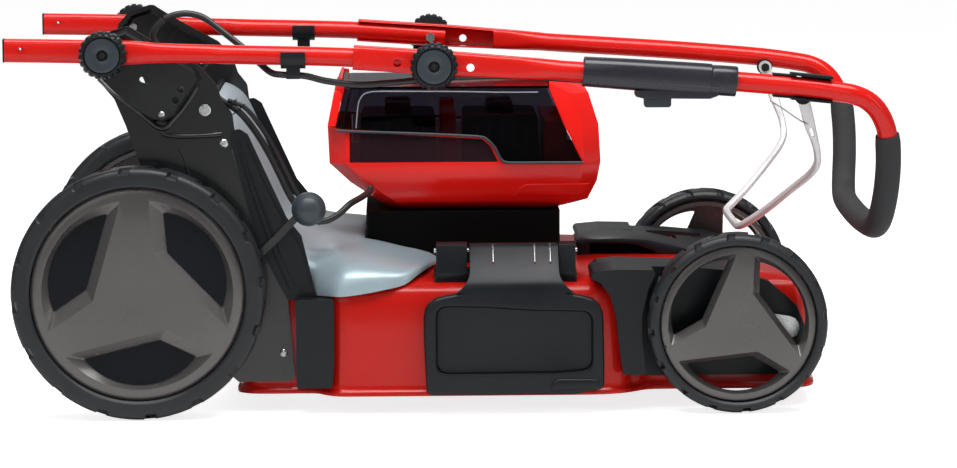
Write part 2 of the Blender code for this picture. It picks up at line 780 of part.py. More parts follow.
COVER = [(0.101, 0.306), (0.104, 0.3155), (0.112, 0.3170), (0.121, 0.3110), (0.163, 0.218),
         (0.179, 0.198), (0.195, 0.131), (0.195, 0.126), (0.163, 0.126), (0.133, 0.184),
         (0.119, 0.233)]


def add_side_covers():
    for side, s in SIDES:
        near = s * COVER_Y
        far = s * (COVER_Y + COVER_T)
        obj = prism(f"side_cover_{side}", rounded(COVER, 0.004, 2), near, far)
        rib = prism("cover_rib", rounded([(0.112, 0.300), (0.118, 0.301), (0.158, 0.215),
                                          (0.172, 0.140), (0.164, 0.140), (0.148, 0.205)], 0.002, 1),
                    near + s * 0.001, far + s * 0.0007)
        join(obj, add_tool(rib))
        lower = prism("cover_block", rounded([(0.1725, 0.030), (0.2125, 0.030), (0.2145, 0.060),
                                              (0.2145, 0.129), (0.1725, 0.129)], 0.003, 2),
                      s * (DECK_HALF - 0.0215), s * (DECK_HALF + 0.0055))
        join(obj, add_tool(lower))
        cut(obj, DECK_TOOL)
        add_piece(obj, BLACK, "mower")


# Sections of the hood from front to rear: x, top, lower edge, half width and squareness.
HOOD = [(0.318, 0.158, 0.1490, 0.206, 2.4), (0.293, 0.166, 0.1430, 0.2225, 2.2),
        (0.270, 0.170, 0.1370, 0.2330, 2.1), (0.247, 0.1735, 0.1335, 0.2345, 2.0),
        (0.224, 0.178, 0.1310, 0.2335, 2.0), (0.206, 0.187, 0.1310, 0.2215, 2.0),
        (0.192, 0.196, 0.1310, 0.2090, 2.3), (0.178, 0.202, 0.140, 0.198, 3.0),
        (0.164, 0.208, 0.155, 0.190, 4.0), (0.152, 0.221, 0.165, 0.186, 4.0),
        (0.140, 0.247, 0.190, 0.185, 4.0), (0.130, 0.274, 0.215, 0.184, 4.0),
        (0.118, 0.306, 0.245, 0.184, 4.0), (0.106, 0.330, 0.268, 0.184, 4.0),
        (0.094, 0.341, 0.280, 0.184, 4.0), (0.083, 0.346, 0.290, 0.184, 4.0)]


def hood_rings():
    rings = []
    for x, top, edge, wide, power in HOOD:
        ring = []
        for k in range(13):
            a = math.pi * k / 12
            u = math.copysign(abs(math.cos(a)) ** (2 / power), math.cos(a))
            v = abs(math.sin(a)) ** (2 / power)
            ring.append((x, wide * u, edge + (top - edge) * v))
        rings.append(ring)
    return rings


def add_hood():
    hood = skin("chute_hood", hood_rings(), 0.0025)
    notch = block("cowl_notch", 0.2485, 0.42, -0.1115, 0.1115, 0.05, 0.26)
    cut(hood, DECK_TOOL, add_tool(notch))
    add_piece(hood, SILVER, "mower")


def add_rear_flap():
    at = (0.074, 0.338)
    add_body("rear_flap_body", (at[0], 0, at[1]), "mower")
    flap = prism("rear_flap", rounded([(at[0] - 0.0015, at[1]), (at[0] + 0.0015, at[1]),
                                       (0.0610, 0.160), (0.0570, 0.160)], 0), -0.180, 0.180)
    barrel = rod("flap_barrel", at, 0.0042, -0.200, 0.200)
    pin = rod("flap_pin_rod", at, 0.0028, -0.2108, 0.2108)
    join(flap, add_tool(barrel), add_tool(pin))
    add_piece(flap, BLACK, "rear_flap_body")


# Front cover

FRONT_SIDE = [(-0.164, 0.147), (-0.152, 0.158), (-0.132, 0.160), (-0.052, 0.1575), (-0.002, 0.153),
              (0.038, 0.141), (0.070, 0.113), (0.088, 0.070), (0.096, 0.036), (-0.162, 0.036)]
FENDER = [(-0.163, 0.1500), (-0.160, 0.1575), (-0.132, 0.160), (-0.089, 0.159), (-0.099, 0.138),
          (-0.106, 0.108), (-0.106, 0.082), (-0.1025, 0.052), (-0.100, 0.042), (-0.127, 0.042),
          (-0.132, 0.080), (-0.1345, 0.106), (-0.141, 0.130), (-0.152, 0.1450)]


def add_front_cover():
    cover = prism("front_cover", from_front(FRONT_SIDE), -0.1995, 0.1995)
    plan = [(p.x, p.y) for p in deck_plan(0.0045)]
    bound = prism("cover_bound", plan, 0.0, 0.3, axis="Z")
    keep_inside(cover, add_tool(bound))
    for side, s in SIDES:
        fender = prism("fender", rounded(from_front(FENDER), 0.003, 1), s * 0.150,
                       s * (DECK_HALF + 0.0045))
        join(cover, add_tool(fender))
    open_top = prism("cover_open", rounded(box_outline(WHEELBASE - 0.202, WHEELBASE - 0.044,
                                                       -0.118, 0.118), 0.012), 0.02, 0.30, axis="Z")
    grip = prism("grip_opening", rounded(box_outline(WHEELBASE - 0.077, WHEELBASE - 0.012,
                                                     0.1495, 0.20), 0.004), 0.115, 0.152)
    cut(cover, DECK_TOOL, add_tool(open_top), add_tool(grip))
    hole = rod("cover_rod_hole", FRONT_PIVOT, AXLE_R + 0.0006, -0.25, 0.25)
    cut(cover, add_tool(hole))
    add_piece(cover, BLACK, "mower")


# Side flap

FLAP_HINGE = (-DECK_HALF + 0.0315, 0.1780)
FLAP_PANEL = [(-0.093, 0.022), (-0.096, 0.085), (-0.096, 0.119), (-0.084, 0.130), (-0.062, 0.1355),
              (-0.047, 0.1415), (0.054, 0.1415), (0.066, 0.1345), (0.086, 0.131), (0.098, 0.122),
              (0.103, 0.110), (0.104, 0.029), (0.071, 0.022)]


def along_flap(outline):
    """Outline points that are set out from the middle of the side flap."""
    return [(FLAP_X + x, z) for x, z in outline]


def hinge_rod(name, r, start, end):
    """A rod on the side flap's hinge line."""
    return rod(name, FLAP_HINGE, r, FLAP_X + start, FLAP_X + end, axis="X")


def add_flap_panel():
    hy, hz = FLAP_HINGE
    outer = -FLAP_Y - FLAP_T
    flap = prism("side_flap", rounded(along_flap(FLAP_PANEL), 0.004, 1), -FLAP_Y, outer)
    frame = rounded(along_flap(box_outline(-0.083, 0.093, 0.046, 0.120)), 0.005, 2)
    recess = prism("flap_recess", frame, -FLAP_Y - 0.0020, outer - 0.02)
    cut(flap, add_tool(recess))
    tab = prism("flap_tab", [(outer, 0.118), (outer, 0.1435), (hy - 0.0075, 0.1835), (hy - 0.0005, 0.1840),
                             (hy - 0.0005, 0.1760), (hy - 0.0065, 0.1740), (-FLAP_Y, 0.1370),
                             (-FLAP_Y, 0.118)], FLAP_X - 0.0450, FLAP_X + 0.0530, axis="X")
    join(flap, add_tool(tab))
    cut(flap, add_tool(hinge_rod("spring_relief", 0.0090, 0.0432, 0.068)),
        add_tool(hinge_rod("spring_relief_2", 0.0090, -0.060, -0.0442)))
    join(flap, add_tool(hinge_rod("flap_barrel", 0.0065, -0.0440, 0.0430)))
    cut(flap, add_tool(hinge_rod("flap_bore", 0.003 + FIT, -0.08, 0.07)))
    add_piece(flap, BLACK, "side_flap_body")


def add_flap_bracket():
    hy, hz = FLAP_HINGE
    base = prism("flap_bracket", [(hy + 0.0285, 0.1475), (hy - 0.0135, 0.1385), (hy - 0.0135, 0.1500),
                                  (hy - 0.0045, 0.1560), (hy + 0.0285, 0.1565)],
                 FLAP_X - 0.084, FLAP_X + 0.075, axis="X")
    for x0, x1 in ((-0.0815, -0.0470), (0.0550, 0.0735)):
        outline = [(hy + 0.0245, 0.150), (hy - 0.0135, 0.142), (hy - 0.0160, 0.155), (hy - 0.0090, 0.1860),
                   (hy + 0.0045, 0.1880), (hy + 0.0205, 0.176)]
        ear = prism("flap_ear", rounded(outline, 0.004, 2), FLAP_X + x0, FLAP_X + x1, axis="X")
        join(base, add_tool(ear))
    cut(base, add_tool(hinge_rod("pin_hole", 0.003 + FIT, -0.10, 0.09)), DECK_TOOL)
    add_piece(base, BLACK, "mower")


def add_side_flap():
    hy, hz = FLAP_HINGE
    add_body("side_flap_body", (FLAP_X, hy, hz), "mower")
    add_flap_panel()
    add_flap_bracket()
    add_piece(hinge_rod("flap_pin", 0.003, -0.0840, 0.0760), STEEL, "mower")
    turns = 3
    coil = []
    for k in range(turns * 10 + 1):
        a = 2 * math.pi * k / 10
        coil.append((FLAP_X + 0.0442 + 0.0090 * k / (turns * 10), hy + 0.0052 * math.cos(a),
                     hz + 0.0052 * math.sin(a)))
    add_piece(cord("flap_spring", coil, 0.0007, 0), STEEL, "mower")


# Battery housing and lid

TUB = [(0.2130, 0.278, 0.472, 0.088), (0.2230, 0.264, 0.503, 0.106), (0.2450, 0.233, 0.513, 0.120),
       (0.2680, 0.209, 0.517, 0.1270), (0.3100, 0.207, 0.515, 0.1180), (0.3450, 0.214, 0.504, 0.1085),
       (0.3640, 0.2215, 0.464, 0.1030)]
LID_SIDE = [(0.2165, 0.308), (0.232, 0.3075), (0.385, 0.298), (0.398, 0.287), (0.406, 0.2685),
            (0.4955, 0.2685), (0.475, 0.310), (0.4578, 0.3505), (0.4565, 0.372), (0.2265, 0.372),
            (0.2265, 0.352)]
WINDOW = [(0.232, 0.2700), (0.4000, 0.2700), (0.3915, 0.2870), (0.3820, 0.2955), (0.232, 0.3045)]


def tub_ring(z, x0, x1, half, grow=0.0):
    x0 -= grow
    x1 += grow
    half += grow
    c = 0.020
    return [(x0 + c, -half, z), (x1 - c, -half, z), (x1, -half + c, z), (x1, half - c, z),
            (x1 - c, half, z), (x0 + c, half, z), (x0, half - c, z), (x0, -half + c, z)]


def tub_at(z):
    for low, high in zip(TUB, TUB[1:]):
        if low[0] <= z <= high[0]:
            t = (z - low[0]) / (high[0] - low[0])
            return [a + (b - a) * t for a, b in zip(low[1:], high[1:])]
    return list(TUB[-1][1:])


def tub_body(name, grow, bottom, top):
    levels = [bottom] + [row[0] for row in TUB if bottom + 0.001 < row[0] < top - 0.001] + [top]
    return loft(name, [tub_ring(z, *tub_at(z), grow=grow) for z in levels])


def add_battery_housing():
    tub = tub_body("battery_housing", 0, 0.213, 0.364)
    hollow = tub_body("tub_hollow", -0.003, 0.2165, 0.3640)
    lift = prism("tub_top", box_outline(0.15, 0.60, 0.3630, 0.40), -0.2, 0.2)
    saddle = prism("tub_saddle", [(0.2108, 0.3085), (0.232, 0.3075), (0.385, 0.298),
                                  (0.398, 0.287), (0.406, 0.2685), (0.4960, 0.2685), (0.4755, 0.310),
                                  (0.4590, 0.3500), (0.4580, 0.38), (0.2300, 0.38), (0.2180, 0.3450)],
                   -0.2, 0.2)
    wall = block("divider", 0.337, 0.352, -0.150, 0.150, 0.2150, 0.320)
    keep_inside(wall, add_tool(tub_body("divider_bound", -0.0027, 0.2140, 0.330)))
    rests = [block("pack_rest", x, x + 0.020, -0.060, 0.060, 0.2150, 0.2436) for x in (0.285, 0.395)]
    window = prism("window_opening", WINDOW, -0.2, 0.2)
    cut(tub, add_tool(hollow), add_tool(saddle), add_tool(lift), add_tool(window))
    join(tub, add_tool(wall), *[add_tool(rest) for rest in rests])
    hx, hz = LID_HINGE
    for s in (-1, 1):
        ear = prism("lid_ear", [(0.2112, 0.325), (0.2200, 0.332), (0.2300, 0.3510), (0.2295, 0.3605),
                                (0.2218, 0.3612), (0.2176, 0.350)], s * 0.0860, s * 0.0920)
        join(tub, add_tool(ear))
    hole = rod("lid_pin_hole", LID_HINGE, 0.0020 + FIT, -0.2, 0.2)
    cut(tub, add_tool(hole))
    add_piece(tub, RED, "mower")

    for side, s in SIDES:
        pane = tub_body(f"housing_window_{side}", 0, 0.265, 0.315)
        inside = tub_body("pane_inside", -0.0025, 0.255, 0.330)
        small = [(p.x, p.y) for p in shrunk(WINDOW, FIT)]
        shape = prism("pane_shape", small, s * 0.09, s * 0.14)
        keep_inside(pane, add_tool(shape))
        cut(pane, add_tool(inside))
        add_piece(pane, SMOKED, "mower")

    for name, x0 in (("rear", 0.2440), ("front", 0.3620)):
        pack = prism(f"battery_pack_{name}", rounded(box_outline(x0, x0 + 0.086, 0.2440, 0.3180), 0.006, 2),
                     -0.066, 0.066)
        ridge = block("pack_ridge", x0 + 0.028, x0 + 0.058, -0.050, 0.050, 0.314, 0.3290)
        join(pack, add_tool(ridge))
        add_piece(pack, SATIN, "mower")


def add_lid():
    hx, hz = LID_HINGE
    add_body("lid_body", (hx, 0, hz), "mower")
    lid = tub_body("battery_lid", LID_GAP + LID_WALL, 0.2600, LID_TOP)
    inside = tub_body("lid_inside", LID_GAP, 0.2500, LID_TOP - 0.0028)
    shape = prism("lid_shape", LID_SIDE, -0.2, 0.2)
    keep_inside(lid, add_tool(shape))
    cut(lid, add_tool(inside))
    barrel = rod("lid_barrel", LID_HINGE, 0.0038, -0.0815, 0.0815)
    pin = rod("lid_trunnions", LID_HINGE, 0.0020, -0.0920, 0.0920)
    for s in (-1, 1):
        gap = block("ear_gap", hx - 0.02, hx + 0.0090, s * 0.0835, s * 0.0945, hz - 0.020, hz + 0.02)
        cut(lid, add_tool(gap))
    join(lid, add_tool(barrel), add_tool(pin))
    add_piece(lid, SMOKED, "lid_body")


# Handle

LOWER_PATH = [(-0.1432, 0.4070), (0.000, 0.4037), (0.022, 0.4031), (0.086, 0.4015),
              (0.102, 0.4010), (0.228, 0.3977), (0.243, 0.3968),
              (0.345, 0.3891)]
UPPER_PATH = [(0.4400, 0.3832), (0.490, 0.3795), (0.600, 0.3722), (0.665, 0.3672), (0.735, 0.3608),
              (0.777, 0.3548)]
BEND = [(0.792, 0.2345, 0.3515), (0.805, 0.2325, 0.3455), (0.816, 0.2290, 0.3355),
        (0.824, 0.2250, 0.3220), (0.829, 0.2205, 0.3060), (0.8315, 0.2120, 0.2750),
        (0.8310, 0.2010, 0.2460), (0.8290, 0.1900, 0.2235), (0.8270, 0.1750, 0.2075),
        (0.8255, 0.1540, 0.1983), (0.8250, 0.1200, 0.1940), (0.8250, 0.0600, 0.1912),
        (0.8250, 0.0000, 0.1902)]
FOAM_FROM = 4


def upper_points():
    half = [Vector((x, -TUBE_Y, z)) for x, z in UPPER_PATH]
    half += [Vector((x, -y, z)) for x, y, z in BEND]
    return half + [Vector((p.x, -p.y, p.z)) for p in half[-2::-1]]


def make_knob(name, deep):
    profile = [(0, deep), (0.0205, deep), (0.0240, deep - 0.0015), (KNOB_R, deep - 0.0050),
               (KNOB_R, 0.0065), (0.0235, 0.0050), (0.0150, 0.0040), (0.0125, 0),
               (BOLT_R + FIT, 0), (BOLT_R + FIT, deep - 0.006), (0, deep - 0.006)]

    def wave(j, k):
        deep_here = {2: 0.0012, 3: 0.0016, 4: 0.0016, 5: 0.0012}.get(k, 0)
        return deep_here if j % 3 == 2 else 0

    return lobed(name, profile, 24, wave)


def add_lower_tubes():
    for side, s in SIDES:
        stations = []
        for x, z in LOWER_PATH:
            high = FLAT_HIGH if x < 0.01 else TUBE_R
            deep = FLAT_DEEP if x < 0.09 else TUBE_R
            stations.append(((x, s * TUBE_Y, z), high, deep, 3.0 if x < 0.01 else 2))
        obj = sweep(f"lower_tube_{side}", stations, 16)
        for at, r in ((HANDLE_PIVOT, BOLT_R + FIT), ((-0.125, 0.4071), 0.0040), (CLAMP_AT, BOLT_R + FIT)):
            tool = rod("tube_hole", at, r, s * 0.21, s * 0.26)
            cut(obj, add_tool(tool))
        add_piece(obj, RED, "handle")

        cap = prism(f"tube_cap_{side}", rounded([(-0.1450, 0.3940), (-0.1436, 0.3940),
                                                 (-0.1436, 0.4200), (-0.1450, 0.4200)],
                                                [0.001, 0, 0, 0.001], 2),
                    s * (TUBE_Y - 0.0078), s * (TUBE_Y + 0.0078))
        add_piece(cap, BLACK, "handle")

        inner = BRACKET_Y + PAD_RISE
        pivot_seat = TUBE_Y + FLAT_DEEP + 0.0005
        clamp_seat = CHANNEL_OUT + 0.0005
        bolt = rod(f"pivot_bolt_{side}", HANDLE_PIVOT, BOLT_R, s * (inner - 0.002),
                   s * (pivot_seat + PIVOT_KNOB_DEEP - 0.007))
        head = rod("bolt_head", HANDLE_PIVOT, 0.0052, s * (inner - 0.0045), s * (inner - FIT), steps=6)
        join(bolt, add_tool(head))
        add_piece(bolt, STEEL, "handle")
        clamp = rod(f"clamp_bolt_{side}", CLAMP_AT, BOLT_R, s * 0.2225,
                    s * (clamp_seat + CLAMP_KNOB_DEEP - 0.007))
        clamp_head = rod("clamp_head", CLAMP_AT, 0.0060, s * 0.2205,
                         s * (TUBE_Y - TUBE_R - FIT), steps=6)
        join(clamp, add_tool(clamp_head))
        add_piece(clamp, STEEL, "handle")

        for name, at, start, deep in (("pivot", HANDLE_PIVOT, pivot_seat, PIVOT_KNOB_DEEP),
                                      ("clamp", CLAMP_AT, clamp_seat, CLAMP_KNOB_DEEP)):
            body = f"{name}_knob_body_{side}"
            where = Vector((at[0], s * start, at[1]))
            add_body(body, where, "handle")
            knob = make_knob(f"{name}_knob_{side}", deep)
            knob.rotation_euler = (-s * math.pi / 2, 0, 0)
            add_piece(knob, BLACK, body, where)


def add_cable_clips():
    x0, x1 = 0.159, 0.186
    z = 0.3991
    for side, s in SIDES:
        y = s * TUBE_Y
        clip = rod(f"cable_clip_{side}", (y, z), 0.0140, x0, x1, axis="X", steps=20)
        foot = prism("clip_foot", rounded([(y - 0.0075, z), (y + 0.0075, z),
                                           (y + 0.0075, z - 0.0265), (y - 0.0075, z - 0.0265)],
                                          [0, 0, 0.004, 0.004], 2), x0 + 0.002, x1 - 0.002, axis="X")
        join(clip, add_tool(foot))
        bore = round_bar("clip_bore", [(0.12, y, 0.40053), (0.23, y, 0.39766)], TUBE_R + FIT, 16)
        hole = round_bar("clip_cord_hole", [(0.140, y, 0.3795), (0.200, y, 0.3765)], 0.0042, 12)
        cut(clip, add_tool(bore), add_tool(hole))
        add_piece(clip, BLACK, "handle")


def add_upper_handle():
    path = upper_points()
    handle = round_bar("upper_handle", path, UPPER_R, 12)
    slope = (0.3832 - 0.3968) / (0.4400 - 0.2430)
    for side, s in SIDES:
        def at(x, up):
            return (x, 0.3968 + slope * (x - 0.243) + up)

        outline = [at(0.2385, -CHANNEL_HALF), at(0.420, -NECK_HALF), at(0.420, NECK_HALF),
                   at(0.2385, CHANNEL_HALF)]
        channel = prism("channel", rounded(outline, [0.004, 0, 0, 0.004], 2),
                        s * CHANNEL_IN, s * CHANNEL_OUT)
        half = CHANNEL_HALF - CHANNEL_WALL
        less = NECK_HALF - CHANNEL_WALL
        hollow = prism("channel_hollow", [at(0.20, -half), at(0.352, -half), at(0.404, -less),
                                          at(0.404, less), at(0.352, half), at(0.20, half)],
                       s * (CHANNEL_IN - 0.01), s * (CHANNEL_OUT - CHANNEL_WALL))
        cut(channel, add_tool(hollow))
        neck = sweep("neck", [((0.4130, s * 0.2360, at(0.413, 0)[1]), NECK_HALF - 0.0002, 0.0127, 6),
                              ((0.4230, s * 0.2360, at(0.423, 0)[1]), NECK_HALF - 0.0004, 0.0124, 4),
                              ((0.4400, s * 0.2355, at(0.440, 0)[1]), 0.0117, 0.0117, 2.4),
                              ((0.4600, s * 0.2351, 0.3818), 0.0112, 0.0112, 2.1),
                              ((0.4650, s * 0.2350, 0.3814), 0.0105, 0.0105, 2)], 14)
        join(channel, add_tool(neck))
        for x in (CLAMP_AT[0] - 0.040, CLAMP_AT[0], CLAMP_AT[0] + 0.040):
            tool = rod("channel_hole", (x, at(x, 0)[1] - 0.0025), BOLT_R + 0.0014, s * 0.20, s * 0.27)
            cut(channel, add_tool(tool))
        join(handle, add_tool(channel))
    add_piece(handle, RED, "handle")

    count = len(path)
    start = len(UPPER_PATH) + FOAM_FROM
    foam = round_bar("foam_grip", path, FOAM_R, 12, UPPER_R + FIT, (start, count - start))
    add_piece(foam, FOAM, "handle")

    line = [Vector((x, -TUBE_Y, z)) for x, z in ((0.491, 0.3800), (0.540, 0.3765), (0.600, 0.3722),
                                                 (0.660, 0.3676))]
    sleeve = sweep("switch_housing", [(line[0], 0.0163, 0.0163, 2.6), (line[1], 0.0172, 0.0172, 2.6),
                                      (line[2], 0.0175, 0.0175, 2.6), (line[3], 0.0172, 0.0172, 2.6)], 20)
    ledge = prism("switch_ledge", rounded([(0.548, 0.374), (0.548, 0.3525), (0.556, 0.3505),
                                           (0.630, 0.3495), (0.640, 0.3530), (0.640, 0.372)],
                                          [0, 0.003, 0.002, 0.003, 0.003, 0], 2),
                  -TUBE_Y - 0.0125, -TUBE_Y + 0.0125)
    join(sleeve, add_tool(ledge))
    bore = round_bar("switch_bore", path, UPPER_R + FIT, 12, 0, (0, 5))
    pocket = block("button_pocket", 0.5575, 0.5885, -TUBE_Y - 0.0065, -TUBE_Y + 0.0065, 0.33, 0.3612)
    cut(sleeve, add_tool(bore), add_tool(pocket))
    add_piece(sleeve, BLACK, "handle")

    add_body("button_body", (0.573, -TUBE_Y, 0.353), "handle")
    button = prism("start_button", rounded(box_outline(0.5580, 0.5880, 0.3400, 0.3560),
                                           [0.003, 0.003, 0, 0], 2),
                   -TUBE_Y - 0.006, -TUBE_Y + 0.006)
    add_piece(button, BLACK, "button_body")


def add_bail():
    ax, az = BAIL_AT
    slope = -0.105

    def at(x, up):
        return (x, 0.3612 + slope * (x - 0.733) + up)

    for side, s in SIDES:
        pivot = rod(f"bail_pivot_{side}", BAIL_AT, 0.0095, s * 0.2216, s * 0.2236, steps=20)
        if side == "right":
            plate = prism("pivot_plate", [at(0.733, -0.0146), at(0.766, -0.0150), at(0.766, 0.0150),
                                          at(0.733, 0.0146)], s * 0.2215, s * 0.2237)
            join(pivot, add_tool(plate))
            for z0, z1 in ((0.0122, 0.0148), (-0.0148, -0.0122)):
                strip = prism("pivot_strip", [at(0.720, z0), at(0.766, z0), at(0.766, z1), at(0.720, z1)],
                              s * 0.2218, s * 0.2440)
                join(pivot, add_tool(strip))
        pin = rod("bail_pin", BAIL_AT, 0.0030, s * 0.2225, s * 0.2105)
        head = rod("bail_pin_head", BAIL_AT, 0.0050, s * 0.2117, s * 0.2097)
        join(pivot, add_tool(pin), add_tool(head))
        add_piece(pivot, BLACK, "handle")

    add_body("bail_body", (ax, 0, az), "handle")
    h = BAIL_HALF
    leg = [((ax, BAIL_Y, az), 0.0065, 0.0020), ((0.7400, 0.2115, 0.3330), 0.0065, 0.0020),
           ((0.7440, 0.2070, 0.3180), 0.0062, 0.0022), ((0.7500, 0.2005, 0.3000), 0.0045, h),
           ((0.7540, 0.1940, 0.2860), h, h), ((0.7550, 0.1850, 0.2710), h, h),
           ((0.7480, 0.1700, 0.2570), h, h), ((0.7300, 0.1450, 0.2380), h, h),
           ((0.7050, 0.1180, 0.2130), h, h), ((0.6850, 0.0980, 0.1960), h, h),
           ((0.6770, 0.0840, 0.1900), h, h), ((0.6760, 0.0600, 0.1885), h, h),
           ((0.6760, 0.0000, 0.1880), h, h)]
    full = [(p, a, b) for p, a, b in leg] + [((x, -y, z), a, b) for (x, y, z), a, b in leg[-2::-1]]
    bail = sweep("bail", [(p, a, b, 3.2) for p, a, b in full], 8)
    for side, s in SIDES:
        eye = rod("bail_eye", BAIL_AT, 0.0078, s * (BAIL_Y - 0.0020), s * (BAIL_Y + 0.0020))
        join(bail, add_tool(eye))
    hole = rod("bail_hole", BAIL_AT, 0.0030 + FIT, -0.25, 0.25)
    cut(bail, add_tool(hole))
    add_piece(bail, ALUMINIUM, "bail_body")

    wire = [(0.6990, -0.2175, 0.3445), (0.7130, -0.2150, 0.3360), (0.7300, -0.2118, 0.3240),
            (0.7420, -0.21065, 0.3170)]
    add_piece(cord("bail_cable", smooth_path(wire, 3), 0.0010, 1), STEEL, "bail_body")


# Cords

CORD_R = 0.0037
SUPPLY = [(0.2550, -0.1185, 0.2407), (0.2548, -0.1231, 0.2378), (0.2460, -0.1430, 0.2330),
          (0.2330, -0.1680, 0.2280), (0.2200, -0.1830, 0.2180), (0.2040, -0.1900, 0.2110),
          (0.1840, -0.1945, 0.2160), (0.1670, -0.1945, 0.2390), (0.1550, -0.1940, 0.2640),
          (0.1420, -0.1935, 0.2900),
          (0.1280, -0.1930, 0.3130), (0.1110, -0.1930, 0.3340), (0.0900, -0.1935, 0.3480),
          (0.0680, -0.1940, 0.3670), (0.0450, -0.1945, 0.3870), (0.0270, -0.1950, 0.4030),
          (0.0170, -0.1950, 0.4170), (0.0190, -0.1950, 0.4270), (0.0280, -0.1950, 0.4370)]
HANDLE_CORD = [(0.0300, -0.1950, 0.4384), (0.0410, -0.1955, 0.4425), (0.0540, -0.1960, 0.4440),
               (0.0680, -0.1970, 0.4415), (0.0800, -0.1990, 0.4350), (0.1010, -0.2055, 0.4190),
               (0.1200, -0.2110, 0.4040), (0.1350, -0.2165, 0.3900), (0.1480, -0.2290, 0.3805),
               (0.1600, -0.2350, 0.3785), (0.1740, -0.2350, 0.3778), (0.1880, -0.2350, 0.3765),
               (0.2100, -0.2350, 0.3710), (0.2450, -0.2350, 0.3670), (0.2750, -0.2320, 0.3685),
               (0.3000, -0.2240, 0.3700), (0.3250, -0.2175, 0.3720), (0.3700, -0.2170, 0.3740),
               (0.4200, -0.2175, 0.3740), (0.4550, -0.2210, 0.3720), (0.4780, -0.2230, 0.3705),
               (0.4902, -0.2235, 0.3698)]


def add_cords():
    add_piece(cord("supply_cable", smooth_path(SUPPLY, 2), CORD_R, 2), CORD, "mower")
    add_piece(cord("handle_cable", smooth_path(HANDLE_CORD, 2), CORD_R, 2), CORD, "handle")


# The mower

add_body("mower", (0, 0, 0))
BODIES["mower"][0].location = (REAR_AXLE_X, 0, 0)
add_body("rear_carrier", (REAR_PIVOT[0], 0, REAR_PIVOT[1]), "mower")
add_body("front_carrier", (FRONT_PIVOT[0], 0, FRONT_PIVOT[1]), "mower")
add_body("height_link_body", (REAR_PIVOT[0], LINK_Y, REAR_PIVOT[1] + LINK_ARM), "rear_carrier")
add_body("handle", (HANDLE_PIVOT[0], 0, HANDLE_PIVOT[1]), "mower")
DECK_TOOL = deck_tool()

add_deck()
add_motor()
add_blade()
add_brackets()
add_side_covers()
add_hood()
add_rear_flap()
add_front_cover()
add_side_flap()
add_battery_housing()
add_lid()
add_wheels()
add_rear_carrier()
add_front_carrier()
add_height_link()
add_lower_tubes()
add_cable_clips()
add_upper_handle()
add_bail()
add_cords()
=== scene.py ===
"""The looks of a cordless lawn mower with its handle folded forward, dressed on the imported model.

Sizes and places on the mower are written in millimetres in the rear-axle frame: x runs forward from
the rear axle, y to the mower's left and z up from the ground. A mesh is made in metres, and put()
moves it to the row frame. The camera, the lights and the floor are in metres.
"""

import json
import math

import bmesh
import bpy
from mathutils import Matrix, Vector

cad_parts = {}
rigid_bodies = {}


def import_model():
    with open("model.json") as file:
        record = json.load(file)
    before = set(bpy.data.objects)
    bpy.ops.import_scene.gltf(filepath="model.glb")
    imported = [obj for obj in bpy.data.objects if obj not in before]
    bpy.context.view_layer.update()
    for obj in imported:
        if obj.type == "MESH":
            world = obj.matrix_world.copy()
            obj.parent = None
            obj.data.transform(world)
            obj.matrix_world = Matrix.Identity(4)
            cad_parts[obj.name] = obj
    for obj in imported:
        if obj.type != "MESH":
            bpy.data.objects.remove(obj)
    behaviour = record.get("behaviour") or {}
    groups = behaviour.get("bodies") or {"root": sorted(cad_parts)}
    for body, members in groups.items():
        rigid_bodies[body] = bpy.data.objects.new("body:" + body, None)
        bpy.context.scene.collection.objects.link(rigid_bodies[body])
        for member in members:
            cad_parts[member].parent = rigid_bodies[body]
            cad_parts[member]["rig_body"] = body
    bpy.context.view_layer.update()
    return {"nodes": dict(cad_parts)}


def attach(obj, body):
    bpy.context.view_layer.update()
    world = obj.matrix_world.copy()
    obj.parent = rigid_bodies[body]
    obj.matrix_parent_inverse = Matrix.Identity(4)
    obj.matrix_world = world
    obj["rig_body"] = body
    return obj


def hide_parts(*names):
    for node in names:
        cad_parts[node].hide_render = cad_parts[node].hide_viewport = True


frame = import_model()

SCENE = bpy.context.scene

# Metres in a millimetre
MM = 0.001
# The rear axle in the row frame, in metres
AXLE = Vector((-0.35, 0, 0))
SIDES = (("right", -1), ("left", 1))

# Sizes shared with the solids
REAR_R = 140
FRONT_R = 100
WHEELBASE = 662
AXLE_R = 6.2
FIT = 0.4
LUGS = 16
BRACKET_Y = 208.5
BRACKET_T = 3
COVER_OUT = 214.5
TUBE_Y = 235
TUBE_R = 10.5
UPPER_R = 11
FOAM_R = 14.2
PIVOT = (-34, 403)
CLAMP = (327, 388.5)
KNOB_R = 26.2
PIVOT_KNOB_DEEP = 31.5
CLAMP_KNOB_DEEP = 25.5
BOLT_R = 3
BALL_R = 19
BALL_AT = (188, 230)
BALL_Y = 237.5
MOTOR_X = 360
MOTOR_HOLE_R = 62
DECK_TOP = 153
DECK_RIM = 20
DECK_WALL = 2.5
FRONT_PIVOT = (721.1, 89.6)
BAIL_AT = (735, 350)
BAIL_Y = 215
BAIL_HALF = 4
CORD_R = 3.7


# Materials

COAT_ROUGH = 0.06


def fill(made, values):
    """Sets a node's inputs, or its settings where it has no such input."""
    for key, value in values.items():
        if key in made.inputs:
            made.inputs[key].default_value = value
        else:
            setattr(made, key, value)
    return made


def node(tree, kind, **values):
    return fill(tree.nodes.new("ShaderNode" + kind), values)


def link(source, out, target, into):
    source.id_data.links.new(source.outputs[out], target.inputs[into])


def noise(tree, coords, scale, detail, stretch):
    """Noise in the piece's own coordinates, drawn out along an axis by stretch."""
    mapping = node(tree, "Mapping", Scale=stretch)
    link(coords, "Object", mapping, "Vector")
    made = node(tree, "TexNoise", Scale=scale, Detail=detail)
    link(mapping, "Vector", made, "Vector")
    return made


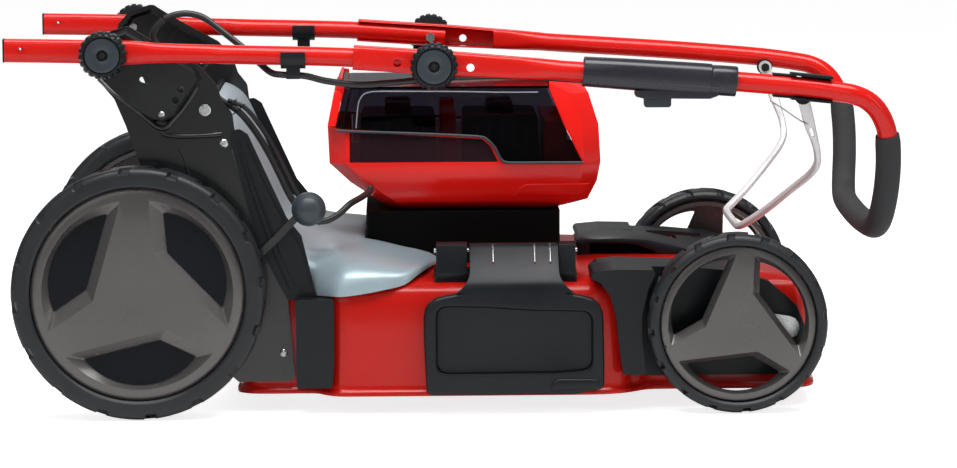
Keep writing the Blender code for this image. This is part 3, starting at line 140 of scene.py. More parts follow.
def finish(name, colour, rough, metal=0, coat=0, vary=0.1, blotch=14, grain=900, bump=0.1,
           depth=0.0002, spread=0.06, stretch=(1, 1, 1), cells=False, sheen=0.5):
    """A surface with a broad drift of colour, and a fine grain whose depth is in metres."""
    made = bpy.data.materials.new(name)
    made.use_nodes = True
    tree = made.node_tree
    shader = tree.nodes["Principled BSDF"]
    fill(shader, {"Metallic": metal, "Coat Weight": coat, "Coat Roughness": COAT_ROUGH,
                  "Specular IOR Level": sheen})
    coords = node(tree, "TexCoord")
    broad = noise(tree, coords, blotch, 4, stretch)
    ramp = node(tree, "ValToRGB")
    for element, at, k in zip(ramp.color_ramp.elements, (0.3, 0.7), (1 - vary, 1 + vary)):
        element.position = at
        element.color = (*[min(1, c * k) for c in colour], 1)
    link(broad, "Fac", ramp, "Fac")
    link(ramp, "Color", shader, "Base Color")
    if cells:
        fine = node(tree, "TexVoronoi", Scale=grain)
        link(coords, "Object", fine, "Vector")
    else:
        fine = noise(tree, coords, grain, 2, stretch)
    rise = node(tree, "Bump", Strength=bump, Distance=depth)
    link(fine, "Distance" if cells else "Fac", rise, "Height")
    link(rise, "Normal", shader, "Normal")
    gloss = node(tree, "MapRange")
    fill(gloss, {"From Min": 0.3, "From Max": 0.7, "To Min": rough - spread, "To Max": rough + spread})
    link(broad, "Fac", gloss, "Value")
    link(gloss, "Result", shader, "Roughness")
    return made


def clear_finish(name, colour, rough, clear=1):
    """Smoked clear plastic with faint waviness."""
    made = finish(name, colour, rough, vary=0.04, blotch=6, grain=40, bump=0.04, spread=0.015)
    fill(made.node_tree.nodes["Principled BSDF"],
         {"Transmission Weight": clear, "IOR": 1.18, "Specular IOR Level": 0.3})
    return made


ENAMEL = {"rough": 0.22, "coat": 0.15, "vary": 0.05, "blotch": 5, "grain": 420, "bump": 0.05}
RED = finish("red_enamel", (0.72, 0.01, 0.006), sheen=0.3, **ENAMEL)
# The same red enamel, made darker for the deck: painted shade.
DECK_RED_PAINTED_SHADE = finish("red_deck_enamel_painted_shade", (0.52, 0.008, 0.004), sheen=0.25, **ENAMEL)
TUB_RED = finish("red_gloss_plastic", (0.86, 0.012, 0.008), 0.26, coat=0.1, vary=0.05, blotch=6,
                 grain=700, bump=0.06, sheen=0.3)
BLACK = finish("black_moulded_plastic", (0.01, 0.0125, 0.015), 0.34, vary=0.18, grain=1500, bump=0.22,
               sheen=0.24)
# Painted shade: a black darker and duller than the moulded black. On the motor cowl it is the cowl's own
# black with the shade under the battery housing painted in; in the flap's recess and under the front grip
# it stands for shade alone.
SHADE_BLACK = finish("black_plastic_painted_shade", (0.003, 0.003, 0.003), 0.6, vary=0.15, grain=1500, bump=0.2, sheen=0.05)
BOX = finish("switch_box_plastic", (0.021, 0.02, 0.029), 0.28, vary=0.12, grain=1500, bump=0.15)
SATIN = finish("black_coated_steel", (0.009, 0.01, 0.011), 0.26, coat=0.3, vary=0.2, blotch=9, grain=800)
RUBBER = finish("tyre_rubber", (0.015, 0.017, 0.02), 0.42, vary=0.22, blotch=22, grain=1200, bump=0.25,
                sheen=0.4)
BRONZE = finish("wheel_bronze_grey", (0.126, 0.119, 0.117), 0.28, 0.62, vary=0.07, blotch=9, grain=1800,
                bump=0.12)
# Painted shade: a near-black for the floors of the shallow pockets, which stands for the shade deep in
# them.
POCKET_SHADE = finish("wheel_pocket_painted_shade", (0.008, 0.009, 0.012), 0.42, vary=0.15, grain=1600, sheen=0.12)
SILVER = finish("silver_plastic", (0.38, 0.485, 0.53), 0.32, 0.25, 0.15, 0.05, blotch=7, grain=2200,
                bump=0.08)
ZINC = finish("zinc_plate", (0.6, 0.62, 0.62), 0.28, 0.9, vary=0.12, blotch=120, grain=2400)
ALLOY = finish("bail_aluminium", (0.74, 0.73, 0.74), 0.34, 0.25, vary=0.06, blotch=30)
BRUSHED = finish("blade_steel", (0.36, 0.36, 0.37), 0.32, 0.9, blotch=40, bump=0.2, stretch=(1, 12, 12))
CAST = finish("motor_casting", (0.1, 0.1, 0.105), 0.5, 0.6, vary=0.15, blotch=30, bump=0.4)
FOAM = finish("grip_foam", (0.028, 0.029, 0.031), 0.78, vary=0.2, blotch=30, bump=0.45, depth=0.0004,
              cells=True)
CORD = finish("cord_jacket", (0.016, 0.016, 0.018), 0.34, vary=0.2, bump=0.15)
SLATE = finish("slate_plastic", (0.03, 0.042, 0.052), 0.38, vary=0.12, grain=1600, bump=0.2)
CASE = finish("battery_case", (0.016, 0.016, 0.018), 0.48, vary=0.2, grain=1300, bump=0.3)
# A light grey for the line along the lid's inner edge: a painted highlight.
EDGE_HIGHLIGHT = finish("lid_edge_painted_highlight", (0.3, 0.32, 0.36), 0.25, 0.2, 0.3, 0.06, blotch=20, bump=0.04)
SMOKED = clear_finish("smoked_clear", (0.11, 0.102, 0.13), 0.03)
TINTED = clear_finish("tinted_window", (0.115, 0.055, 0.07), 0.06, 0.86)


# Outlines and paths

def arc(centre, r, start, span, steps):
    """Points on an arc. Its start and span are in degrees."""
    out = []
    for k in range(steps + 1):
        a = math.radians(start + span * k / steps)
        out.append((centre[0] + r * math.cos(a), centre[1] + r * math.sin(a)))
    return out


def circle(at, r, steps=32):
    return arc(at, r, 180 / steps, 360, steps)[:-1]


def rounded(points, radius, steps=5):
    """The outline with each corner turned into a curve. A radius may be given for each corner."""
    out = []
    count = len(points)
    for i, point in enumerate(points):
        r = radius[i] if isinstance(radius, (list, tuple)) else radius
        p = Vector(point)
        a = Vector(points[i - 1]) - p
        b = Vector(points[(i + 1) % count]) - p
        if r <= 0:
            out.append(tuple(p))
            continue
        reach = min(r / math.tan(a.angle(b) / 2), 0.45 * a.length, 0.45 * b.length)
        start = p + a.normalized() * reach
        end = p + b.normalized() * reach
        for k in range(steps + 1):
            t = k / steps
            out.append(tuple(start * (1 - t) ** 2 + p * 2 * t * (1 - t) + end * t ** 2))
    return out


def capsule(p, q, r, steps=10):
    """A slot's outline, with round ends at p and q."""
    turn = math.degrees(math.atan2(q[1] - p[1], q[0] - p[0]))
    return arc(q, r, turn - 90, 180, steps) + arc(p, r, turn + 90, 180, steps)


def box_outline(x0, x1, z0, z1):
    return [(x0, z0), (x1, z0), (x1, z1), (x0, z1)]


def mirrored(half):
    """Rows from one side to the middle, and on to the other side."""
    return half + [(x, -y, *rest) for x, y, *rest in half[-2::-1]]


def between(a, b, c, d, t):
    """The value a share t of the way from b to c, on a smooth curve through all four."""
    return 0.5 * (2 * b + (c - a) * t + (2 * a - 5 * b + 4 * c - d) * t ** 2
                  + (3 * b - a - 3 * c + d) * t ** 3)


def smooth(rows, steps=4, closed=False):
    """More rows on a smooth curve through the given ones. A row is a point, or one with its sizes."""
    if closed:
        rows = [rows[-1], *rows, *rows[:2]]
    else:
        first = [2 * a - b for a, b in zip(rows[0], rows[1])]
        last = [2 * a - b for a, b in zip(rows[-1], rows[-2])]
        rows = [first, *rows, last]
    out = []
    for four in zip(rows, rows[1:], rows[2:], rows[3:]):
        for k in range(steps):
            out.append([between(*values, k / steps) for values in zip(*four)])
    return out if closed else out + [list(rows[-2])]


def inset(points, by, least=0.6):
    """The closed outline with each side moved to its left."""
    out = []
    for i, p in enumerate(points):
        a = (p - points[i - 1]).normalized()
        b = (points[(i + 1) % len(points)] - p).normalized()
        left = Vector((-a.y, a.x))
        n = (left + Vector((-b.y, b.x))).normalized()
        out.append(p + n * by / max(least, n.dot(left)))
    return out


def shrunk(outline, by):
    """The outline moved inward, whichever way round it runs."""
    pts = [Vector(p) for p in outline]
    area = sum(a.x * b.y - b.x * a.y for a, b in zip(pts, pts[1:] + pts[:1]))
    return inset(pts, by if area > 0 else -by)


# Meshes

def shade(mesh, angle=35):
    mesh.shade_smooth()
    mesh.set_sharp_from_angle(angle=math.radians(angle))


def linked(name, bm):
    mesh = bpy.data.meshes.new(name)
    bm.to_mesh(mesh)
    bm.free()
    obj = bpy.data.objects.new(name, mesh)
    SCENE.collection.objects.link(obj)
    return obj


def object_of(name, bm, angle=35):
    """An object from the mesh, shaded smooth but for edges sharper than the angle."""
    bmesh.ops.remove_doubles(bm, verts=bm.verts, dist=1e-6)
    bmesh.ops.recalc_face_normals(bm, faces=bm.faces)
    obj = linked(name, bm)
    shade(obj.data, angle)
    return obj


def vert(bm, point):
    return bm.verts.new([value * MM for value in point])


def settled(obj):
    """Makes the object's modifiers part of its mesh."""
    bpy.context.view_layer.update()
    seen = obj.evaluated_get(bpy.context.evaluated_depsgraph_get())
    mesh = bpy.data.meshes.new_from_object(seen)
    obj.modifiers.clear()
    obj.data = mesh
    return obj


def carve(obj, *tools, how="DIFFERENCE", angle=35):
    for tool in tools:
        made = obj.modifiers.new("carve", "BOOLEAN")
        made.operation = how
        made.solver = "EXACT"
        made.object = tool
    settled(obj)
    for tool in tools:
        bpy.data.objects.remove(tool)
    bm = bmesh.new()
    bm.from_mesh(obj.data)
    bmesh.ops.remove_doubles(bm, verts=bm.verts, dist=4e-6)
    bm.to_mesh(obj.data)
    bm.free()
    shade(obj.data, angle)
    return obj


def eased(obj, width=0.6, segments=2, angle=32):
    """Rounds the object's sharp edges."""
    made = obj.modifiers.new("ease", "BEVEL")
    made.width = width * MM
    made.segments = segments
    made.limit_method = "ANGLE"
    made.angle_limit = math.radians(angle)
    made.harden_normals = True
    return settled(obj)


def prism(name, outline, start, end, axis="Y"):
    def at(point, depth):
        u, v = point
        return (depth, u, v) if axis == "X" else (u, depth, v)

    bm = bmesh.new()
    face = bm.faces.new([vert(bm, at(p, start)) for p in outline])
    moved = bmesh.ops.extrude_face_region(bm, geom=[face])["geom"]
    step = Vector(at((0, 0), end - start)) * MM
    bmesh.ops.translate(bm, vec=step, verts=[v for v in moved if isinstance(v, bmesh.types.BMVert)])
    return object_of(name, bm)


def block(name, x0, x1, y0, y1, z0, z1):
    return prism(name, box_outline(x0, x1, z0, z1), y0, y1)


def rod(name, at, r, start, end, axis="Y", steps=32):
    return prism(name, circle(at, r, steps), start, end, axis)


def walls(bm, rings, loop=False, closed=True, way=1):
    """Faces between each ring and the next."""
    grid = [[vert(bm, p) for p in ring] for ring in rings]
    count = len(grid[0])
    for low, high in zip(grid, grid[1:] + grid[:1] if loop else grid[1:]):
        for i in range(count if closed else count - 1):
            j = (i + 1) % count
            bm.faces.new((low[i], low[j], high[j], high[i])[::way])
    return grid


def loft(name, rings, loop=False, angle=35):
    """A solid through the rings, with both ends closed, or the last ring joined to the first."""
    bm = bmesh.new()
    grid = walls(bm, rings, loop)
    if not loop:
        bm.faces.new(grid[0][::-1])
        bm.faces.new(grid[-1])
    return object_of(name, bm, angle)


def stepped(name, outline, levels, radius=0, steps=5):
    """A solid of the outline's rings. A level is (inset, y)."""
    rings = []
    for by, y in levels:
        rings.append([(x, y, z) for x, z in rounded(shrunk(outline, by), radius, steps)])
    return loft(name, rings)


def skin(name, rings, wall, closed=False):
    """A thin wall through the rings, which may be closed ones."""
    bm = bmesh.new()
    walls(bm, rings, closed=closed, way=-1)
    obj = linked(name, bm)
    thick = obj.modifiers.new("wall", "SOLIDIFY")
    thick.thickness = wall * MM
    thick.offset = -1
    thick.use_even_offset = True
    settled(obj)
    shade(obj.data)
    return obj


def sweep(name, stations, sides=28, bore=0, part=None):
    """A bar along a path. A station is (point, half height, half depth, squareness)."""
    points = [Vector(s[0]) for s in stations]
    side = Vector((0, 1, 0))
    outer = []
    inner = []
    for i, (point, high, deep, power) in enumerate(stations):
        ahead = points[min(i + 1, len(points) - 1)] - points[i]
        behind = points[i] - points[max(i - 1, 0)]
        along = (ahead.normalized() + behind.normalized()).normalized()
        side = (side - along * side.dot(along)).normalized()
        up = side.cross(along)
        ring = []
        hole = []
        for c, s in circle((0, 0), 1, sides):
            u = math.copysign(abs(c) ** (2 / power), c)
            v = math.copysign(abs(s) ** (2 / power), s)
            ring.append(Vector(point) + side * deep * u + up * high * v)
            hole.append(Vector(point) + side * bore * c + up * bore * s)
        outer.append(ring)
        inner.append(hole)
    if part:
        outer = outer[part[0]:part[1]]
        inner = inner[part[0]:part[1]]
    if bore:
        return loft(name, outer + inner[::-1], loop=True)
    return loft(name, outer)


def stations_through(rows, steps):
    """Smooth stations through rows of (x, y, z, half height, half depth, squareness)."""
    return [(p[:3], *p[3:]) for p in smooth(rows, steps)]


def tube(name, points, r, sides=20):
    return sweep(name, [(p, r, r, 2) for p in points], sides)


def face_line(name, line, steps, y_at, half, rise, power=2, sides=12):
    """A raised line on a side face, whose y at a height is y_at(z)."""
    return sweep(name, [((x, y_at(z), z), half, rise, power) for x, z in smooth(line, steps)], sides)


def spot(at, r, angle, y):
    """A point round a line along y."""
    return (at[0] + r * math.cos(angle), y, at[1] + r * math.sin(angle))


def turned(name, profile, at, s, y0, steps=48, wave=None, closed=False, angle=35):
    """A round piece about a line along y through at. A profile point is (radius, out from y0).

    wave(step, point number), where given, is taken off the radius.
    """
    bm = bmesh.new()
    rows = []
    for k, (r, out) in enumerate(profile):
        count = steps if r else 1
        radii = [r - (wave(j, k) if wave else 0) for j in range(count)]
        rows.append([vert(bm, spot(at, here, 2 * math.pi * j / steps, s * (y0 + out)))
                     for j, here in enumerate(radii)])
    for a, b in zip(rows, rows[1:] + rows[:1] if closed else rows[1:]):
        for j in range(steps):
            i = (j + 1) % steps
            if len(a) == 1:
                bm.faces.new((a[0], b[j], b[i]))
            elif len(b) == 1:
                bm.faces.new((a[j], b[0], a[i]))
            else:
                bm.faces.new((a[j], b[j], b[i], a[i]))
    return object_of(name, bm, angle)


def put(obj, material, body, *nodes, slot=None):
    """Moves the mesh to the row frame, paints it and lets it ride on its body."""
    obj.data.transform(Matrix.Translation(AXLE))
    obj.data.materials.clear()
    obj.data.materials.append(material)
    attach(obj, body)
    if nodes:
        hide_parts(*nodes)
    return obj


def merged(name, objs):
    """One object that holds the meshes of several."""
    bm = bmesh.new()
    for obj in objs:
        bm.from_mesh(obj.data)
        bpy.data.objects.remove(obj)
    made = linked(name, bm)
    shade(made.data)
    return made


def dressed(name, material, width):
    """The CAD node with its flat faces whole again and its edges eased."""
    source = frame["nodes"][name].data
    bm = bmesh.new()
    verts = [bm.verts.new(v.co - AXLE) for v in source.vertices]
    for face in source.polygons:
        bm.faces.new([verts[i] for i in face.vertices])
    bmesh.ops.remove_doubles(bm, verts=bm.verts, dist=2e-6)
    bmesh.ops.dissolve_limit(bm, angle_limit=math.radians(0.8), verts=bm.verts, edges=bm.edges)
    obj = object_of(f"{name}_finish", bm, 32)
    if width:
        eased(obj, width)
    put(obj, material, frame["nodes"][name]["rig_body"], name)


# Wheels

# Each wheel's centre, radius, rim radius, inner face and width
WHEELS = {"rear": ((0, REAR_R), REAR_R, 118, 221.5, 48.5),
          "front": ((WHEELBASE, FRONT_R), FRONT_R, 87, 210, 45)}
# Where a lug's parts begin, as shares of its pitch
PITCH = [0, 0.03, 0.22, 0.25, 0.375, 0.5, 0.53, 0.72, 0.75, 0.875]
# Half of the tread, as (in from the tyre's side, depth, grooves): a share of them, or 2 in the middle
TREAD = [
    (0.4, 6.8, 0.35), (1.6, 4, 0.9), (3.8, 1.8, 1), (7, 0.7, 1), (12.2, 0.2, 1), (12.8, 3.2, 0),
    (14.6, 3.2, 0), (15.4, 0.2, 2), (19, 0, 2)]
GROOVE = 4.2
LUG_SKEW = 0.05
# The rims' outer faces as (radius, out from the inner face)
RIM_FACES = {"rear": [(0, 45.5), (25, 46), (80, 46.2), (110, 45.6), (113, 44.8), (115.8, 43.6)],
             "front": [(0, 41.7), (20, 42.3), (60, 42.3), (80, 41.6), (83, 40.8), (85.2, 39.9)]}
# Each rim's lip, rim depth, web, hub and neck
RIM_DEPTHS = {"rear": (42, 40.5, 33.5, 26, 22), "front": (38.4, 37, 31, 20, 18)}
# Each rim's pocket radius, pocket corner, face, pocket floor, taper and turn
RIM_POCKETS = {"rear": (106, 49, 46.2, 37.5, 0.74, 0), "front": (77.5, 37.5, 42.3, 20, 0.66, -6.5)}
# The clip that shows on each rim: its turn in degrees, and how far out it is
RIM_CLIPS = {"rear": (90, 43.6), "front": (197, 39.8)}
CLIP_R = 1.9
CLIP_INSET = 1.8


def make_tyre(name, end, s):
    """A tyre with long blocks on both shoulders and a staggered row between them."""
    at, r, rim_r, inner, wide = WHEELS[end]
    half = wide / 2
    wall = r - (rim_r + FIT)
    edge = [(half - 3, wall, 0), (half - 1, wall - 1.4, 0), (half, wall - 3.2, 0),
            (half - 0.1, 0.62 * wall, 0), (half - 0.1, 0.5 * wall, 0)]
    edge += [(half - x, drop, kind) for x, drop, kind in TREAD]
    section = [(w, drop, kind, 1) for w, drop, kind in edge]
    section += [(-w, drop, kind, -1) for w, drop, kind in edge[::-1]]
    rings = []
    for w, drop, kind, way in section:
        ring = []
        for lug in range(LUGS):
            for j, t in enumerate(PITCH):
                gap = j in ((1, 2) if way > 0 and kind != 2 else (6, 7))
                cut = GROOVE * min(kind, 1) if gap else 0
                a = 2 * math.pi * (lug + t) / LUGS + LUG_SKEW * w / half
                here = r - drop - cut * max(0, 1 - drop / 20)
                ring.append(spot(at, here, a, s * (inner + half + w)))
        rings.append(ring)
    return loft(name, rings, loop=True, angle=28)


def pocket_outline(turn, rim_r, corner_r):
    """A pocket between two spokes: a corner toward the hub, then an arc along the rim."""
    a = math.radians(69 + turn)
    corner = (corner_r * math.cos(a), corner_r * math.sin(a))
    return [Vector(p) for p in (corner, *arc((0, 0), rim_r, turn - 21.4, 104.4, 22))]


def softened(outline):
    """The pocket's outline with its three corners rounded."""
    radii = [5.5, 3.5] + [0] * (len(outline) - 3) + [3.5]
    return [Vector(p) for p in rounded(outline, radii)]


def make_rim(name, end, s):
    """The rim with three pockets cut in, and dark floors where the pockets are shallow, which paint the
    shade of a deeper pocket.
    """
    at, _, r, inner, _ = WHEELS[end]
    lip, deep, web, hub, neck = RIM_DEPTHS[end]
    rim_r, corner_r, face, floor, taper, turn = RIM_POCKETS[end]
    profile = RIM_FACES[end] + [
        (r - 0.4, lip), (r, deep), (r, 4), (r - 1.5, 2.5), (r - 6, 2.5),
        (r - 9, web), (hub, web), (neck, 1), (AXLE_R + FIT, 1), (AXLE_R + FIT, deep), (0, deep)]
    rim = turned(name, profile, at, s, inner, 112)
    tools = []
    shade_floors = []
    for k in range(3):
        outline = pocket_outline(turn - 120 * k, rim_r, corner_r)
        middle = sum(outline, Vector((0, 0))) / len(outline)
        wide = softened([middle + (p - middle) * 1.1 for p in outline])
        low = softened([middle + (p - middle) * taper for p in outline])
        rings = [[(at[0] + p.x, s * (inner + out), at[1] + p.y) for p in ring]
                 for ring, out in ((low, floor), (wide, face + 4))]
        tools.append(loft("pocket", rings))
        slab = [(at[0] + p.x, at[1] + p.y) for p in shrunk(low, 0.3)]
        shade_floors.append((slab, s * (inner + floor - 1.2), s * (inner + floor + 0.8)))
    carve(rim, *tools, angle=25)
    return eased(rim, 1.2, 2, 24), shade_floors


def add_wheels():
    for side, s in SIDES:
        for end in ("rear", "front"):
            body = f"wheel_{end}_{side}"
            tyre = make_tyre(f"tyre_{end}_{side}_tread", end, s)
            put(tyre, RUBBER, body, f"tyre_{end}_{side}", slot="tyre_rubber")
            rim, shade_floors = make_rim(f"rim_{end}_{side}_cover", end, s)
            put(rim, BRONZE, body, f"rim_{end}_{side}", slot="wheel_grey")
            if end == "rear":
                # Dark floors that paint the shade in the rear rims' pockets.
                slabs = [prism("pocket_shade_floor", *floor) for floor in shade_floors]
                put(merged(f"rim_pocket_shade_{end}_{side}", slabs), POCKET_SHADE, body)
            turn, out = RIM_CLIPS[end]
            at, _, rim_r, inner, _ = WHEELS[end]
            x, _, z = spot(at, rim_r - CLIP_INSET, math.radians(turn), 0)
            ends = [s * (inner + out - 2), s * (inner + out + 1.2)]
            clip = rod(f"rim_clip_{end}_{side}", (x, z), CLIP_R, *ends, steps=10)
            put(eased(clip, 0.4), BLACK, body)


# Deck

# Half of the deck seen from above
HALF_PLAN = [
    (110, 0), (110, 65), (110, 130), (110, 186), (118, 200.5), (136, 206.5), (192, 206.5), (206, 219),
    (222, 231), (260, 232), (340, 232), (430, 232), (500, 231), (530, 224), (546, 212), (560, 199),
    (580, 194.5), (630, 194), (690, 194), (728, 193), (743, 184), (751, 160), (753.5, 80), (754, 0)]
# The deck's sides as (grow, z) and its top as (share of the way to the motor's hole, z)
COARSE = [(4, DECK_RIM), (3.6, 24.5), (0, 29), (-1.5, 118), (-4.5, 131), (-10, 139.5)]
COARSE_CROWN = [(0.08, 146.5), (0.45, DECK_TOP), (1, DECK_TOP)]
FINE = [
    (4, DECK_RIM), (4.4, 21.2), (4.2, 23.6), (3, 25.2), (1, 26.8), (0.2, 29), (0, 32), (-0.4, 60),
    (-0.9, 90), (-1.5, 118), (-2.5, 125.2), (-4.3, 131.2), (-6.8, 135.8), (-10, 139.7)]
FINE_CROWN = [
    (0.025, 142.2), (0.055, 144.6), (0.09, 146.6), (0.15, 148.8), (0.24, 150.8), (0.34, 152.2),
    (0.45, DECK_TOP), (0.7, DECK_TOP), (1, DECK_TOP)]


def deck_plan(grow, fine):
    """The deck seen from above, with fine extra points to each of the plan's."""
    plan = inset([Vector(p) for p in mirrored(HALF_PLAN)[:-1]], grow, 0.5)
    return [Vector(p) for p in smooth(plan, fine, closed=True)] if fine else plan


def deck_rings(shoulder, crown, grow=0, fine=0):
    """The deck's rings, up its sides and over its top."""
    rings = [[(p.x, p.y, z + grow) for p in deck_plan(out + grow, fine)] for out, z in shoulder]
    last = deck_plan(shoulder[-1][0] + grow, fine)
    centre = Vector((MOTOR_X, 0))
    for t, z in crown:
        ring = []
        for p in last:
            q = p.lerp(centre + (p - centre).normalized() * MOTOR_HOLE_R, t)
            ring.append((q.x, q.y, z + grow))
        rings.append(ring)
    return rings


def deck_volume():
    """The deck as a solid, to cut the hood to its shape."""
    rings = deck_rings(COARSE, COARSE_CROWN, FIT)
    below = [(x, y, DECK_RIM - 30) for x, y, _ in rings[0]]
    return loft("deck_volume", [below, *rings])


def add_deck():
    deck = skin("deck_shell_painted", deck_rings(FINE, FINE_CROWN, 0, 3), DECK_WALL, closed=True)
    rear = block("rear_opening", 60, 268, -150, 150, 34, 300)
    side = prism("side_opening", rounded(box_outline(332, 502, 34, 116), 8), -300, -190)
    hole = rod("front_rod_hole", FRONT_PIVOT, AXLE_R + 0.6, -250, 250)
    carve(deck, rear, side, hole)
    # The deck takes a darker copy of the red enamel: painted shade.
    put(deck, DECK_RED_PAINTED_SHADE, "mower", "deck_shell", slot="deck_red")


# The hood's arches as (x, top, lower edge, half width, squareness)
HOOD = [
    (329, 163, 156, 140, 3), (320, 167, 156.5, 180, 3), (308, 170.5, 152, 207, 3),
    (293, 174, 143, 222.5, 3), (270, 180, 138.5, 231.5, 3), (247, 185, 134.5, 234, 2.9),
    (224, 189, 131.5, 233.5, 2.7), (206, 193.5, 131, 221.5, 2.5), (192, 198.5, 131, 209, 2.6),
    (178, 204, 140, 198, 3), (164, 208, 155, 190, 4), (152, 221, 165, 186, 4), (140, 247, 190, 185, 4),
    (130, 274, 215, 184, 4), (118, 306, 245, 184, 4), (106, 330, 268, 184, 4), (94, 341, 280, 184, 4),
    (83, 346, 290, 184, 4)]
HOOD_WALL = 2.5


def add_hood():
    rings = []
    for x, top, edge, wide, power in smooth(HOOD, 3):
        ring = []
        for c, s in arc((0, 0), 1, 0, 180, 40):
            u = math.copysign(abs(c) ** (2 / power), c)
            ring.append((x, wide * u, edge + (top - edge) * abs(s) ** (2 / power)))
        rings.append(ring)
    hood = skin("chute_hood_shell", rings, HOOD_WALL)
    notch = block("cowl_notch", 248.5, 420, -111.5, 111.5, 50, 260)
    carve(hood, deck_volume(), notch)
    put(hood, SILVER, "mower", "chute_hood", slot="silver_plastic")


# Handle

# The lower tube: its flattened end's half depth and rows as (x, z, half height, half depth,
# squareness), then the points of its round part
FLAT_HALF = 8
LOWER_FLAT = [
    (-143.2, 407, 13, FLAT_HALF, 3), (-80, 405.8, 13, FLAT_HALF, 3), (-20, 404.2, 13, FLAT_HALF, 3),
    (0, 403.7, 12.9, FLAT_HALF, 2.9), (22, 403.1, 11.2, FLAT_HALF, 2.3), (60, 402.2, 10.5, 8.1, 2.1),
    (86, 401.5, 10.5, 8.6, 2)]
LOWER_ROUND = [(102, 401), (150, 399.8), (197, 398.5), (243, 396.6), (294, 393), (345, 389.1)]
UPPER_PATH = [(440, 383.2), (490, 379.5), (600, 372.2), (665, 367.2), (735, 360.8), (777, 354.8)]
BEND = [
    (792, 234.5, 351.5), (805, 232.5, 345.5), (816, 229, 335.5), (824, 225, 322), (829, 220.5, 306),
    (831.5, 212, 275), (831, 201, 246), (829, 190, 223.5), (827, 175, 207.5), (825.5, 154, 198.3),
    (825, 120, 194), (825, 60, 191.2), (825, 0, 190.2)]
FINER = 3
FOAM_FROM = 4
CHANNEL_IN = 223
CHANNEL_OUT = 249
CHANNEL_MID = (CHANNEL_IN + CHANNEL_OUT) / 2
CHANNEL_DEEP = (CHANNEL_OUT - CHANNEL_IN) / 2
CHANNEL_HALF = 13.4
CHANNEL_WALL = 2.2
NECK_HALF = 12.2
# Two points of the channel's middle line
CHANNEL_START = (243, 396.8)
CHANNEL_END = (440, 383.2)
HOLE_STEP = 40
# The pin hole and the dimples at the lower tube's free end
PIN_AT = (-126.2, 408.7)
PIN_R = 1.7
DIMPLE_AT = (-125, 407.1)
DIMPLE_R = 4
DIMPLE_OUT = 6.8


def upper_points():
    half = [(x, -TUBE_Y, z) for x, z in UPPER_PATH] + [(x, -y, z) for x, y, z in BEND]
    return smooth(mirrored(half), FINER)


def add_lower_tubes():
    for side, s in SIDES:
        rows = LOWER_FLAT + [(x, z, TUBE_R, TUBE_R, 2) for x, z in LOWER_ROUND]
        rows = [(x, s * TUBE_Y, *rest) for x, *rest in rows]
        obj = sweep(f"lower_tube_{side}_painted", stations_through(rows, 3), 32)
        tools = [rod("tube_hole", at, r, s * 210, s * 260)
                 for at, r in ((PIVOT, BOLT_R + FIT), (PIN_AT, PIN_R), (CLAMP, BOLT_R + FIT))]
        tools += [rod("end_dimple", DIMPLE_AT, DIMPLE_R, s * y0, s * y1)
                  for y0, y1 in ((210, TUBE_Y - DIMPLE_OUT), (TUBE_Y + DIMPLE_OUT, 260))]
        carve(obj, *tools)
        put(obj, RED, "handle", f"lower_tube_{side}", slot="deck_red")


def channel_at(x, up=0):
    """A point in line with the channel, or above it."""
    slope = (CHANNEL_END[1] - CHANNEL_START[1]) / (CHANNEL_END[0] - CHANNEL_START[0])
    return (x, CHANNEL_START[1] + slope * (x - CHANNEL_START[0]) + up)


def make_channel(s):
    """The flat channel that holds the lower tube, and its neck on to the round tube."""
    half = CHANNEL_HALF - CHANNEL_WALL
    less = NECK_HALF - CHANNEL_WALL
    below = [channel_at(200, -half), channel_at(352, -half), channel_at(404, -less)]
    above = [channel_at(404, less), channel_at(352, half), channel_at(200, half)]
    ends = [s * (CHANNEL_IN - 10), s * (CHANNEL_OUT - CHANNEL_WALL)]
    hollow = prism("channel_hollow", below + above, *ends)
    rows = [(x, CHANNEL_MID, channel_at(x)[1], high, CHANNEL_DEEP, 5)
            for x, high in ((238.5, CHANNEL_HALF), (260, CHANNEL_HALF), (300, CHANNEL_HALF),
                            (350, CHANNEL_HALF - 0.1), (385, NECK_HALF + 0.4))]
    rows += [(413, 236, channel_at(413)[1], NECK_HALF - 0.1, 12.9, 4.8),
             (425, 235.9, channel_at(425)[1], NECK_HALF - 0.2, 12.6, 4.2),
             (436, 235.7, channel_at(436)[1], 11.9, 12.2, 3),
             (447, 235.4, 382.7, 11.6, 11.7, 2.4), (458, 235.1, 382, 11.2, 11.3, 2.1),
             (468, 235, 381.2, 10.8, 10.8, 2)]
    rows = [(x, s * y, *rest) for x, y, *rest in rows]
    channel = carve(sweep("channel", stations_through(rows, 2), 48), hollow)
    holes = [rod("channel_hole", channel_at(x, -2.5), BOLT_R + 1.4, s * 200, s * 270)
             for x in (CLAMP[0] - HOLE_STEP, CLAMP[0], CLAMP[0] + HOLE_STEP)]
    return eased(carve(channel, *holes), 0.6, 2, 50)


def add_upper_handle():
    path = upper_points()
    handle = tube("upper_handle_painted", path, UPPER_R, 32)
    for _, s in SIDES:
        carve(handle, make_channel(s), how="UNION", angle=40)
    put(handle, RED, "handle", "upper_handle", slot="deck_red")

    count = len(path)
    start = (len(UPPER_PATH) + FOAM_FROM) * FINER
    rows = []
    for i, p in enumerate(path):
        near = min(i - start, count - start - 1 - i)
        r = FOAM_R - (0.9 if near <= 0 else 0)
        rows.append((p, r, r, 2))
    foam = sweep("foam_grip_sleeve", rows, 32, UPPER_R + FIT, (start, count - start))
    put(foam, FOAM, "handle", "foam_grip", slot="grip_foam")


CLIP_Z = 399.1
SADDLE_R = 14
SADDLE_SPAN = 220


